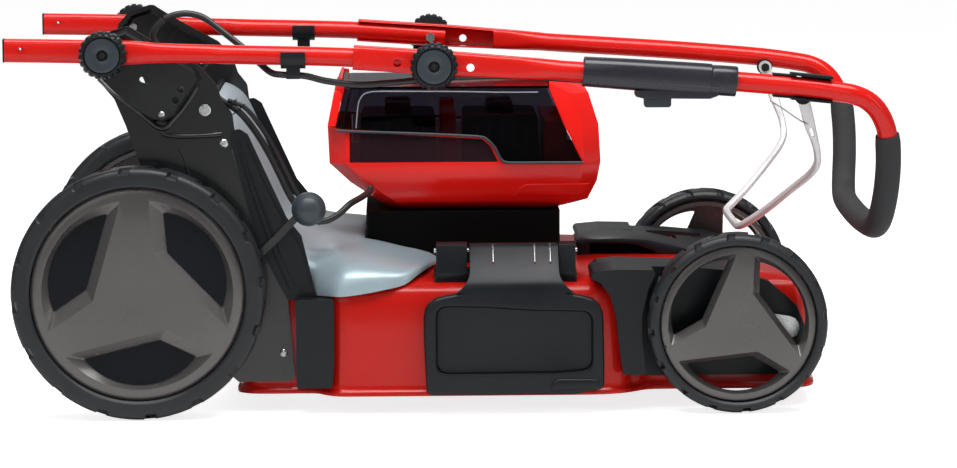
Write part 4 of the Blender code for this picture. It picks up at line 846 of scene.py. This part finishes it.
def add_cable_clips():
    """A saddle that grips the lower part of the tube, with a foot that holds the cable."""
    for side, s in SIDES:
        y = s * TUBE_Y
        ring = arc((y, CLIP_Z), SADDLE_R, -200, SADDLE_SPAN, 24)
        ring += arc((y, CLIP_Z), TUBE_R + FIT, 20, -SADDLE_SPAN, 24)
        clip = prism(f"cable_clip_{side}_saddle", ring, 159, 186, axis="X")
        outline = box_outline(y - 6.8, y + 6.8, CLIP_Z - 12, CLIP_Z - 25.5)
        foot = prism("clip_foot", rounded(outline, [0, 0, 5, 5], 4), 165, 180, axis="X")
        carve(clip, foot, how="UNION")
        carve(clip, tube("clip_cord_hole", [(140, y, 379.5), (200, y, 376.5)], 4, 16))
        eased(clip, 0.8, 3, 40)
        put(clip, BLACK, "handle", f"cable_clip_{side}")


SLEEVE = [
    (491, 380, 15.8), (492, 379.9, 16.4), (540, 376.5, 17.2), (600, 372.2, 17.5), (624, 370.6, 17.4),
    (630.5, 370.1, 17.3), (631, 370, 16.6), (632.5, 369.8, 16), (634, 369.7, 16.6), (659, 367.7, 16.6),
    (660, 367.6, 16)]
LEDGE = [(548, 360), (548, 352.5), (556, 350.5), (630, 349.5), (640, 353), (640, 360)]
LEDGE_HALF = 12.5
SEAM = [(548, 368.8), (600, 365.2), (640, 362.3)]


def add_switch_housing():
    sleeve = sweep("switch_housing_shell", [((x, -TUBE_Y, z), r, r, 2.7) for x, z, r in SLEEVE], 40)
    carve(sleeve, tube("switch_bore", upper_points()[:5 * FINER], UPPER_R + FIT, 32))
    put(sleeve, BOX, "handle", "switch_housing", slot="black_plastic")
    outline = rounded(LEDGE, [0, 3, 2, 3, 3, 0], 4)
    ledge = prism("switch_ledge", outline, -TUBE_Y - LEDGE_HALF, -TUBE_Y + LEDGE_HALF)
    carve(ledge, block("button_pocket", 557.5, 588.5, -TUBE_Y - 6.5, -TUBE_Y + 6.5, 330, 364))
    put(eased(ledge, 1.2, 3), BOX, "handle")
    strip = sweep("switch_seam", [((x, -TUBE_Y - 17.3, z), 0.6, 0.4, 2) for x, z in SEAM], 8)
    put(strip, SLATE, "handle")


def knob_wave(steps, lobes, deep):
    """Rounded finger lobes on a knob's rim."""
    def wave(j, k):
        share = {2: 0.6, 3: 1, 4: 1, 5: 1, 6: 0.6}.get(k, 0)
        t = (j * lobes / steps) % 1
        return deep * share * (math.sin(math.pi * (t - 0.58) / 0.42) ** 0.5 if t > 0.58 else 0)
    return wave


KNOB_GAP = 0.5
KNOB_STEPS = 160
KNOB_LOBES = 20
LOBE_DEEP = 1.6


def add_knob(name, body, at, s, start, deep):
    """A knob with a lobed rim, a slate face in it, and the nut and bolt end in the middle."""
    profile = [(19.4, deep - 2.2), (20.2, deep - 0.2), (22, deep - 0.4), (24, deep - 2.2),
               (KNOB_R, deep - 6.5), (KNOB_R, 8), (24, 5.5), (15, 4), (12.5, 0), (BOLT_R + FIT, 0),
               (BOLT_R + FIT, deep - 6), (6, deep - 4)]
    wave = knob_wave(KNOB_STEPS, KNOB_LOBES, LOBE_DEEP)
    rim = turned(f"{name}_rim", profile, at, s, start, KNOB_STEPS, wave, closed=True, angle=30)
    put(rim, BLACK, body, name, slot="black_plastic")
    face = [(6.2, deep - 5), (6.2, deep - 2), (7.5, deep - 1.2), (12, deep - 1), (16.8, deep - 0.4),
            (18.6, deep - 1), (18.9, deep - 3), (8, deep - 5)]
    put(turned(f"{name}_face", face, at, s, start, 64, closed=True), SLATE, body)
    low = s * (start + deep - 6.6)
    nut = rod("nut", at, 5.5, low, s * (start + deep - 3), steps=6)
    tip = rod("tip", at, 2.6, low, s * (start + deep - 0.8), steps=20)
    put(merged(f"{name}_nut", [eased(nut, 0.5), eased(tip, 0.8)]), BLACK, body)


def add_knobs():
    for side, s in SIDES:
        for kind, at, seat, deep in (("pivot", PIVOT, TUBE_Y + FLAT_HALF, PIVOT_KNOB_DEEP),
                                     ("clamp", CLAMP, CHANNEL_OUT, CLAMP_KNOB_DEEP)):
            add_knob(f"{kind}_knob_{side}", f"{kind}_knob_body_{side}", at, s, seat + KNOB_GAP, deep)


# Bail

# The bail's flattened end as (x, y, z, half height, half depth), then its round part
BAIL_LEG = [
    (735, 215, 350, 6.5, 2), (740, 211.5, 333, 6.5, 2), (744, 207, 318, 6.2, 2.2),
    (750, 200.5, 300, 4.5, 4)]
BAIL_BOW = [
    (754, 194, 286), (755, 185, 271), (748, 170, 257), (730, 145, 238), (705, 118, 213), (685, 98, 196),
    (677, 84, 190), (676, 60, 188.5), (676, 0, 188)]
BAIL_WIRE = [(699, -217.5, 344.5), (713, -215, 336), (730, -211.8, 324), (742, -210.65, 317)]
TONGUE_FROM = (700, 364)
TONGUE_TO = (726, 361.6)
TONGUE_HALF = 5.5


def add_pivot_tongues():
    """Thin tongues of the right pivot, above and below the tube."""
    bits = []
    for low, high in ((11.2, 13.2), (-13.2, -11.2)):
        outline = [(x, z + up) for (x, z), up in ((TONGUE_FROM, low), (TONGUE_TO, low), (TONGUE_TO, high),
                                                  (TONGUE_FROM, high))]
        bits.append(eased(prism("tongue", outline, -TUBE_Y - TONGUE_HALF, TONGUE_HALF - TUBE_Y), 0.4))
    put(merged("bail_pivot_tongues", bits), BLACK, "handle")


def add_bail():
    rows = [(*row, 3) for row in BAIL_LEG] + [(*p, BAIL_HALF, BAIL_HALF, 3) for p in BAIL_BOW]
    bail = sweep("bail_lever", stations_through(mirrored(rows), 4), 24)
    eyes = [rod("bail_eye", BAIL_AT, 7.8, s * (BAIL_Y - 2), s * (BAIL_Y + 2)) for _, s in SIDES]
    carve(bail, *eyes, how="UNION")
    hole = rod("bail_hole", BAIL_AT, 3.4, -250, 250)
    slot = prism("bail_slot", capsule((745.8, 311.2), (748.2, 304.8), 1.7), -250, -150)
    carve(bail, hole, slot)
    put(bail, ALLOY, "bail_body", "bail", slot="aluminium")
    wire = tube("bail_cable_wire", smooth(BAIL_WIRE, 5), 0.8, 10)
    put(wire, ZINC, "bail_body", "bail_cable", slot="zinc_steel")


# Lever knob, cords and ties

def add_lever_knob():
    profile = [(0, BALL_R)]
    steps = 26
    for k in range(1, steps):
        a = math.pi / 2 - math.pi * 0.86 * k / steps
        r = BALL_R - (0.5 if k in (9, 10) else 0)
        profile.append((r * math.cos(a), r * math.sin(a)))
    profile += [(5.8, -BALL_R * 0.95), (5.8, -17), (5, -17), (5, 4), (0, 4)]
    ball = turned("lever_knob_ball", profile, BALL_AT, -1, BALL_Y)
    put(ball, SLATE, "rear_carrier", "lever_knob", slot="knob_slate")


SUPPLY = [
    (255, -118.5, 240.7), (254.8, -123.1, 237.8), (246, -143, 233), (233, -168, 228), (220, -183, 218),
    (204, -190, 211), (184, -194.5, 216), (167, -194.5, 239), (155, -194, 264), (142, -193.5, 290),
    (128, -193, 313), (111, -193, 334), (90, -193.5, 348), (68, -194, 367), (45, -194.5, 387),
    (27, -195, 403), (17, -195, 417), (19, -195, 427), (28, -195, 437)]
HANDLE_CORD = [
    (30, -195, 438.4), (41, -195.5, 442.5), (54, -196, 444), (68, -197, 441.5), (80, -199, 435),
    (101, -205.5, 419), (120, -211, 404), (135, -216.5, 390), (148, -229, 380.5), (160, -235, 378.5),
    (174, -235, 377.8), (188, -235, 376.5), (210, -235, 371), (245, -235, 367), (275, -232, 368.5),
    (300, -224, 370), (325, -217.5, 372), (370, -217, 374), (420, -217.5, 374), (455, -221, 372),
    (478, -223, 370.5), (490.2, -223.5, 369.8)]
LEAD_START = (199, -186, 208)
LEAD_END = (98.5, -194.5, 347.5)
LEAD_R = 2.6
# The ties' middles and their turns in degrees
TIES = [(110.5, -193, 337, 40), (101, -193.5, 343.5, 34)]


def add_cords():
    supply = tube("supply_cable_jacket", smooth(SUPPLY, 5), CORD_R, 20)
    put(supply, CORD, "mower", "supply_cable", slot="cord_rubber")
    cable = tube("handle_cable_jacket", smooth(HANDLE_CORD, 5), CORD_R, 20)
    put(cable, CORD, "handle", "handle_cable", slot="cord_rubber")
    lead = [(x + 6.6, y + 1, z + 4.6) for x, y, z in SUPPLY[6:12]]
    put(tube("signal_lead", smooth([LEAD_START, *lead, LEAD_END], 6), LEAD_R, 16), CORD, "mower")


def add_cable_ties():
    for number, (x, y, z, turn) in enumerate(TIES):
        turn = math.radians(turn)
        ring = []
        for u, v in arc((0, 0), 1, 0, 360, 24):
            ring.append((x + 7.8 * u * math.cos(turn), y + 5.2 * v, z + 7.8 * u * math.sin(turn)))
        put(sweep(f"cable_tie_{number}", [(p, 0.6, 1.8, 3) for p in ring], 8), BLACK, "mower")


# Hardware

# The bracket's screws as (place, out from the plate, radius)
BRACKET_SCREWS = [((94.5, 301), 0.2, 5), ((27, 335), 14.8, 3.6), ((158, 66), 0.2, 4.6)]


def hex_bolt(at, s, y, size, high):
    head = rod("head", at, size, s * y, s * (y + high), steps=6)
    washer = rod("washer", at, size * 1.12, s * (y - 0.4), s * (y + 0.9), steps=28)
    return [eased(head, 0.6), eased(washer, 0.3)]


def pan_screw(at, s, y, r):
    profile = [(0, 2.4), (1.6, 2.3), (r * 0.7, 1.9), (r * 0.95, 0.9), (r, 0), (0, 0)]
    head = turned("head", profile, at, s, y, 28)
    tools = []
    for turn in (20, 110):
        c = math.cos(math.radians(turn)) * r * 0.62
        k = math.sin(math.radians(turn)) * r * 0.62
        outline = capsule((at[0] - c, at[1] - k), (at[0] + c, at[1] + k), 0.4, 3)
        tools.append(prism("cross", outline, s * (y + 1.2), s * (y + 4)))
    return carve(head, *tools)


def add_hardware():
    plate = BRACKET_Y + BRACKET_T
    for side, s in SIDES:
        bits = hex_bolt((74, 338), s, plate + 0.4, 5.8, 4.6)
        bits += [pan_screw(at, s, plate + out, r) for at, out, r in BRACKET_SCREWS]
        put(merged(f"bracket_screws_{side}", bits), ZINC, "mower", slot="zinc_steel")


COVER_RIBS = [[(108.5, 303), (127, 240), (144, 190), (166, 139)],
              [(113.5, 303), (132, 243), (150, 193), (171, 143)],
              [(120.5, 303), (145, 246), (166, 206), (181, 180), (190, 143)]]
# The bracket's beads as (line, half width, rise): the V round the pad, a swage under it, a short rib
BEADS = [([(-42, 374), (-25, 358), (-6, 342.5), (12, 327), (21.5, 319.5), (30, 318.5), (37, 326),
           (47, 337), (56.5, 350), (65, 364)], 3.4, 3),
         ([(26, 315), (30, 311), (40, 309.5), (58, 309), (80, 310), (92, 311)], 2.8, 2.2),
         ([(44, 296), (50, 284), (56, 262)], 1.2, 1)]


def add_side_cover_ribs():
    for side, s in SIDES:
        y = s * (COVER_OUT - 0.2)
        bits = [face_line("rib", line, 5, lambda z: y, 1.3, 1.2, 2.4) for line in COVER_RIBS]
        put(merged(f"side_cover_ribs_{side}", bits), BLACK, "mower")


def add_bracket_beads():
    for side, s in SIDES:
        y = BRACKET_Y + BRACKET_T - 0.4
        bits = [face_line("bead", line, 4, lambda z: s * (y + 0.2 * rise), half, rise)
                for line, half, rise in BEADS]
        put(merged(f"bracket_beads_{side}", bits), SATIN, "mower")


# Battery housing

# The housing's sides as (z, half width)
TUB = [(213, 88), (223, 106), (245, 120), (268, 127), (310, 118), (345, 108.5), (364, 103)]
REAR_POST = [
    (207.6, 310.5), (216.3, 310.5), (219.8, 326), (224.1, 345), (220.5, 349), (215, 349), (213.4, 340),
    (210.5, 326)]
# Lines along the lid as (x, z)
SEAL = [
    (218, 305.8), (238.4, 304.8), (289.2, 303), (345.8, 300.4), (378, 298.4), (386.2, 296), (393.4, 289.5),
    (398.4, 281.7), (403, 273.5), (407, 270), (416, 269), (447.4, 268.9), (496.4, 268.6)]
LID_EDGE = [
    (239.5, 308.7), (240.7, 322), (241.9, 333.1), (244.2, 340.9), (248.8, 346.4), (255.6, 348.6),
    (266.9, 349.4), (312.3, 349.1), (357.6, 348.6), (402.9, 347.6), (446.1, 347.4)]
STEP_PANEL = [(417, 229), (499, 229), (504, 244.5), (431, 244), (425, 240.5)]


def tub_half(z):
    """The housing's half width at a height."""
    for (low, y0), (high, y1) in zip(TUB, TUB[1:]):
        if low <= z <= high:
            return y0 + (y1 - y0) * (z - low) / (high - low)
    return TUB[-1][1]


def add_lid_lines():
    """The dark seal along the lid's lower edge, and a light line on the inner edge of its wall, which is a
    painted highlight.
    """
    seals = []
    edges = []
    for _, s in SIDES:
        seals.append(face_line("seal", SEAL, 4, lambda z: s * (tub_half(z) + 3.4), 1.5, 1.3, 2.4))
        edges.append(face_line("edge", LID_EDGE, 4, lambda z: s * (tub_half(z) + 3.3), 0.7, 0.7, sides=10))
    put(merged("lid_seal_strip", seals), SLATE, "lid_body")
    # The light line is a painted highlight on the lid's edge.
    put(merged("lid_edge_painted_highlights", edges), EDGE_HIGHLIGHT, "lid_body")


def add_housing_trim():
    """The stepped panels low on the front corners, and the posts at the back."""
    panels = []
    posts = []
    for _, s in SIDES:
        rings = []
        for by, out in ((0, -0.8), (0, 1), (1.6, 2.4)):
            rings.append([(x, s * (tub_half(z) + out), z) for x, z in shrunk(STEP_PANEL, by)])
        panels.append(loft("panel", rings))
        inner = [(x, s * 93, z) for x, z in REAR_POST]
        posts.append(loft("post", [inner, [(x, s * (tub_half(z) - 0.4), z) for x, z in REAR_POST]]))
    put(merged("housing_step_panels", panels), TUB_RED, "mower")
    put(merged("housing_rear_posts", posts), TUB_RED, "mower")


def add_bay_walls():
    """The bay's walls that show through the lid: the packs' guide, and the divider's ends."""
    guide = block("pack_guide", 453, 479, -98, 98, 218, 314)
    put(eased(guide, 2, 3), TUB_RED, "mower")
    fins = [block("fin", 336, 353, s * 70, s * 108, 248, 325) for _, s in SIDES]
    put(merged("divider_fins", [eased(fin, 1.5, 3) for fin in fins]), TUB_RED, "mower")


def add_pack_details():
    """Latches on top of the packs, and ribs down their sides."""
    bits = []
    for x0 in (244, 362):
        for y in (-36, 36):
            latch = block("latch", x0 + 30, x0 + 56, y - 11, y + 11, 328.6, 331.2)
            bits.append(eased(latch, 1))
        for k in range(5):
            x = x0 + 14 + 14 * k
            for y in (-66.8, 65):
                bits.append(eased(block("rib", x, x + 3, y, y + 1.8, 252, 306), 0.5))
    put(merged("pack_ribs", bits), SLATE, "mower")


# Side flap

FLAP_X = 410
FLAP_Y = 238.5
FLAP_OUTER = -FLAP_Y - 9
FLAP_HINGE = (-200.5, 178)
# Outlines set out from the flap's middle
FLAP_PANEL = [
    (-93.2, 22), (-95, 60), (-96, 85), (-96.2, 108), (-95, 117.5), (-90.5, 125), (-83, 130.3), (-73, 133),
    (-61, 135.2), (-52, 137.8), (-47, 141.5), (56, 141.5), (62, 137.5), (70, 134.3), (81, 132.2),
    (91, 128.8), (98.5, 122.5), (102.2, 114), (103, 104), (103.8, 64), (104, 28), (71, 22)]
RECESS = [(-82, 46), (-82, 121.5), (-30, 120.5), (25, 116.5), (90.5, 115), (90.5, 49.5), (50, 46.5)]
RECESS_R = 13
# How the panel's outer edge, the recess's floor and its lip curve, as (inset, depth)
PANEL_EDGE = [(0, 4.6), (0.4, 3.2), (1.2, 1.9), (2.3, 0.9), (3.6, 0.3), (5.4, 0)]
RECESS_FLOOR = [(3, 1.9), (0.8, 2.2), (0, 3)]
RECESS_LIP = [(0, 2.6), (-0.8, 1.4), (-1.6, 1.2), (-1.8, -0.2), (-1.8, -4)]
FINGER_TAB = [(44, 26.5), (98, 28.5), (98.5, 40), (53, 40.5), (45, 36.5)]
# The finger tab's rings as (inset, out from the panel, corner radius)
TAB_RINGS = [(0, 0.6, 4), (0.6, -1.4, 4), (1.8, -2.4, 4), (3.4, -2.8, 3)]
# The hinge cover's curve as (y, z)
HINGE_COVER = [
    (-247.2, 136), (-247, 141), (-244.8, 147), (-236.5, 158), (-226, 169.8), (-216.5, 179.5),
    (-210.5, 184.8), (-204, 186.8), (-198, 186), (-193, 182), (-191.5, 176)]
COVER_WALL = 2.4
COVER_SLOTS = (-18.5, 27.7, 45)
SLOT_SPRING = [(-226.3, 168.1), (-215.8, 178.8), (-210, 183.9), (-204.8, 185.5)]


def along_flap(outline):
    return [(FLAP_X + x, z) for x, z in outline]


def make_flap_panel():
    """The panel: a frame that is rounded outward, round a deep recess."""
    levels = [(0, -FLAP_Y)] + [(by, FLAP_OUTER + out) for by, out in PANEL_EDGE]
    panel = stepped("side_flap_panel", along_flap(FLAP_PANEL), levels, 8, 3)
    levels = [(by, -FLAP_Y - deep) for by, deep in RECESS_FLOOR]
    levels += [(by, FLAP_OUTER + out) for by, out in RECESS_LIP]
    return carve(panel, stepped("recess", along_flap(RECESS), levels, RECESS_R, 8), angle=30)


def make_recess_shade():
    """A dark liner on the recess's walls, which lie in shade: its dark colour is painted shade."""
    low = -FLAP_Y - 3
    high = FLAP_OUTER + 2
    outline = along_flap(RECESS)
    shade_liner = stepped("side_flap_recess_painted_shade", outline, [(-0.2, low), (-0.2, high)], RECESS_R, 8)
    levels = [(1.2, low + 2), (0.4, high - 2)]
    return carve(shade_liner, stepped("liner_tool", outline, levels, RECESS_R, 8))


def flare(z, wide):
    """How far the cover's side edges spread where it runs into the panel."""
    return wide * max(0, (162 - z) / 26) ** 2.2


def make_hinge_cover():
    """The curved cover over the hinge, flared where it meets the panel, with slots across its top."""
    outer = [Vector((0, *p)) for p in smooth(HINGE_COVER)]
    rings = []
    for i, p in enumerate(outer):
        along = (outer[min(i + 1, len(outer) - 1)] - outer[max(i - 1, 0)]).normalized()
        inner = p + Vector((0, along.z, -along.y)) * COVER_WALL
        x0 = FLAP_X - 45 - flare(p.z, 15)
        x1 = FLAP_X + 54.5 + flare(p.z, 16)
        ring = []
        for x, share in ((x0, 0.5), (x0 + 0.8, 0.12), (x0 + 3, 0), (x1 - 3, 0), (x1 - 0.8, 0.12),
                         (x1, 0.5), (x1 - 0.6, 1), (x0 + 0.6, 1)):
            q = p.lerp(inner, share)
            ring.append((x, q.y, q.z))
        rings.append(ring)
    cover = loft("side_flap_hinge_cover", rings)
    tools = [rod("spring_relief", FLAP_HINGE, 6.8, FLAP_X + 43.6, FLAP_X + 57, axis="X")]
    outline = capsule((-228, 170.5), (-201, 193.5), 5)
    for x in COVER_SLOTS:
        tools.append(prism("slot", outline, FLAP_X + x - 0.9, FLAP_X + x + 0.9, axis="X"))
    return carve(cover, *tools, angle=40)


def add_slot_springs():
    """Bright leaf springs that show in the cover's slots."""
    bits = []
    for x in COVER_SLOTS:
        path = [(FLAP_X + x, y, z) for y, z in SLOT_SPRING]
        bits.append(sweep("slot_spring", [(p, 0.6, 0.4, 2.5) for p in path], 8))
    put(merged("side_flap_slot_springs", bits), ZINC, "side_flap_body")


def add_side_flap():
    put(make_flap_panel(), BLACK, "side_flap_body", "side_flap", slot="black_plastic")
    # The recess liner is painted shade on the recess's walls.
    put(make_recess_shade(), SHADE_BLACK, "side_flap_body")
    put(make_hinge_cover(), BLACK, "side_flap_body")
    add_slot_springs()
    barrel = rod("side_flap_barrel", FLAP_HINGE, 6.2, FLAP_X - 44, FLAP_X + 43, axis="X")
    put(barrel, ZINC, "side_flap_body")
    rings = []
    for by, out, r in TAB_RINGS:
        outline = rounded(shrunk(along_flap(FINGER_TAB), by), r)
        rings.append([(x, FLAP_OUTER + out, z) for x, z in outline])
    put(eased(loft("side_flap_finger_tab", rings), 0.8), BLACK, "side_flap_body")


# Front cover

GRIP_ARCH = [
    (493.5, 144), (493.5, 166), (497.5, 169.7), (506, 171.2), (545, 172), (575, 170), (600, 164.5),
    (622, 158.5), (622, 150), (586, 150), (583, 156.5), (562, 164), (544, 166), (507.5, 166), (506.5, 144)]
# The outline of a dark sheet under the arch, which paints the shade in the opening beneath it.
GRIP_SHADE = [(504, 144), (504, 169), (560, 169), (590, 162), (590, 144)]
GRIP_HALF = 45
GRIP_SHADE_HALF = 30


def add_front_grip():
    """The carrying grip in the middle of the front cover: an arch with a dark sheet under it, which is
    painted shade in the opening beneath the arch.
    """
    levels = [(1.6, -GRIP_HALF), (0.5, 0.6 - GRIP_HALF), (0, 1.8 - GRIP_HALF)]
    levels += [(by, -y) for by, y in levels[::-1]]
    put(stepped("front_grip_arch", GRIP_ARCH, levels), BLACK, "mower", slot="black_plastic")
    # A dark sheet that paints the shade in the grip's opening.
    put(prism("front_grip_painted_shade", GRIP_SHADE, -GRIP_SHADE_HALF, GRIP_SHADE_HALF), SHADE_BLACK, "mower")


# Camera, light and floor

FOCAL = 3800
PHOTO_WIDE = 957
SENSOR = 36
EYE = (-0.06, -4.404, 0.692)
YAW = math.radians(1.17)
PITCH_DOWN = math.radians(6.72)
ROLL = math.radians(-0.29)


def add_camera():
    data = bpy.data.cameras.new("camera")
    data.sensor_width = SENSOR
    data.lens = SENSOR * FOCAL / PHOTO_WIDE
    data.clip_end = 200
    level = Vector((math.cos(YAW), -math.sin(YAW), 0))
    flat = Vector((math.sin(YAW), math.cos(YAW), 0))
    forward = flat * math.cos(PITCH_DOWN) - Vector((0, 0, math.sin(PITCH_DOWN)))
    upright = level.cross(forward)
    right = level * math.cos(ROLL) + upright * math.sin(ROLL)
    up = upright * math.cos(ROLL) - level * math.sin(ROLL)
    camera = bpy.data.objects.new("camera", data)
    camera.matrix_world = Matrix.Translation(EYE) @ Matrix((right, up, -forward)).transposed().to_4x4()
    SCENE.collection.objects.link(camera)
    SCENE.camera = camera


# Each light's name, place, aim, width, height, power and gloss
LIGHTS = [
    ("top_softbox", (0.1, -0.7, 2.4), (0, 0, 0.2), 2.6, 1.2, 76, 0.6),
    ("front_softbox", (-1.6, -3.2, 1.7), (0, 0, 0.2), 1.6, 1.2, 4, 0.6),
    ("front_strip", (-0.9, -1.9, 1.7), (0, 0, 0.25), 1.5, 0.08, 2.4, 1),
    ("low_strip", (0.8, -2.2, 1), (0, 0, 0.2), 0.08, 1.2, 1, 1),
    ("left_strip", (-1.9, -2, 0.9), (0, 0, 0.2), 0.1, 1.2, 1.6, 1),
    ("side_strip", (2.6, -1.6, 1.2), (0.1, 0, 0.2), 0.5, 1.8, 6, 1),
    ("back_softbox", (-0.4, 3, 1.8), (0, 0, 0.2), 1.6, 0.8, 7, 1)]


def add_lights():
    for name, at, aim, wide, high, power, gloss in LIGHTS:
        data = bpy.data.lights.new(name, "AREA")
        data.shape = "RECTANGLE"
        data.size = wide
        data.size_y = high
        data.energy = power
        data.specular_factor = gloss
        obj = bpy.data.objects.new(name, data)
        obj.location = at
        obj.rotation_euler = (Vector(aim) - Vector(at)).to_track_quat("-Z", "Y").to_euler()
        SCENE.collection.objects.link(obj)


AMBIENT = 0.19
FLOOR_GLOW = 0.8
FLOOR_Z = -0.0006


def seen_rays(tree):
    """One where a ray comes from the camera, straight or through clear plastic, and else zero."""
    rays = node(tree, "LightPath")
    seen = node(tree, "Math", operation="MAXIMUM")
    for i, kind in enumerate(("Is Camera Ray", "Is Transmission Ray")):
        link(rays, kind, seen, i)
    return seen


def add_world():
    """Dim light from all round, and white where the camera sees past the floor."""
    world = bpy.data.worlds.new("studio")
    SCENE.world = world
    world.use_nodes = True
    tree = world.node_tree
    tree.nodes.clear()
    mix = node(tree, "MixShader")
    link(seen_rays(tree), 0, mix, 0)
    for slot, strength in ((1, AMBIENT), (2, 1)):
        link(node(tree, "Background", Color=(1, 1, 1, 1), Strength=strength), 0, mix, slot)
    link(mix, 0, node(tree, "OutputWorld"), "Surface")


def add_floor():
    """A pale floor that glows a little for the camera, so that it stays near white."""
    bm = bmesh.new()
    bmesh.ops.create_grid(bm, x_segments=1, y_segments=1, size=40)
    floor = object_of("studio_floor", bm)
    floor.location.z = FLOOR_Z
    material = bpy.data.materials.new("pale_floor")
    material.use_nodes = True
    tree = material.node_tree
    shader = tree.nodes["Principled BSDF"]
    fill(shader, {"Base Color": (0.9, 0.9, 0.9, 1), "Roughness": 0.9, "Specular IOR Level": 0.1})
    glow = node(tree, "Emission", Color=(FLOOR_GLOW, FLOOR_GLOW, FLOOR_GLOW, 1))
    link(seen_rays(tree), 0, glow, "Strength")
    both = node(tree, "AddShader")
    link(shader, 0, both, 0)
    link(glow, 0, both, 1)
    link(both, 0, tree.nodes["Material Output"], "Surface")
    floor.data.materials.append(material)


# The mower

# The nodes that keep their CAD shape, with their materials and the width of their eased edges
# The motor cowl's black carries painted shade from the battery housing above it.
PLAIN = [
    ("motor_cowl", SHADE_BLACK, 1.5), ("motor", CAST, 0.8), ("battery_housing", TUB_RED, 1),
    ("battery_lid", SMOKED, 0.8), ("battery_pack_rear", CASE, 1.4), ("battery_pack_front", CASE, 1.4),
    ("front_cover", BLACK, 1.6), ("flap_bracket", BLACK, 2.6), ("flap_pin", ZINC, 0.4),
    ("flap_spring", ZINC, 0), ("rear_axle", ZINC, 0.5), ("front_axle", ZINC, 0.5),
    ("height_lever", SATIN, 0.6), ("height_link", SATIN, 0.5), ("rear_flap", BLACK, 0.6),
    ("blade", BRUSHED, 0.3), ("blade_hub", CAST, 0.6), ("start_button", SLATE, 1)]
# The same for the pieces that come as a right and a left one
PAIRS = [
    ("rear_bracket", SATIN, 0.9), ("side_cover", BLACK, 0.7), ("housing_window", TINTED, 0.4),
    ("tube_cap", BLACK, 0.6), ("pivot_bolt", ZINC, 0.4), ("clamp_bolt", ZINC, 0.4),
    ("bail_pivot", BLACK, 0.4)]
PLAIN += [(f"{name}_{side}", material, width) for name, material, width in PAIRS for side, _ in SIDES]


def main():
    add_camera()
    add_lights()
    add_world()
    add_floor()
    for name, material, width in PLAIN:
        dressed(name, material, width)
    for add in (add_wheels, add_deck, add_hood, add_lower_tubes, add_upper_handle, add_cable_clips,
                add_switch_housing, add_knobs, add_pivot_tongues, add_bail, add_lever_knob, add_cords,
                add_cable_ties, add_hardware, add_side_cover_ribs, add_bracket_beads, add_lid_lines,
                add_housing_trim, add_bay_walls, add_pack_details, add_side_flap, add_front_grip):
        add()
    SCENE.view_settings.view_transform = "Standard"


main()
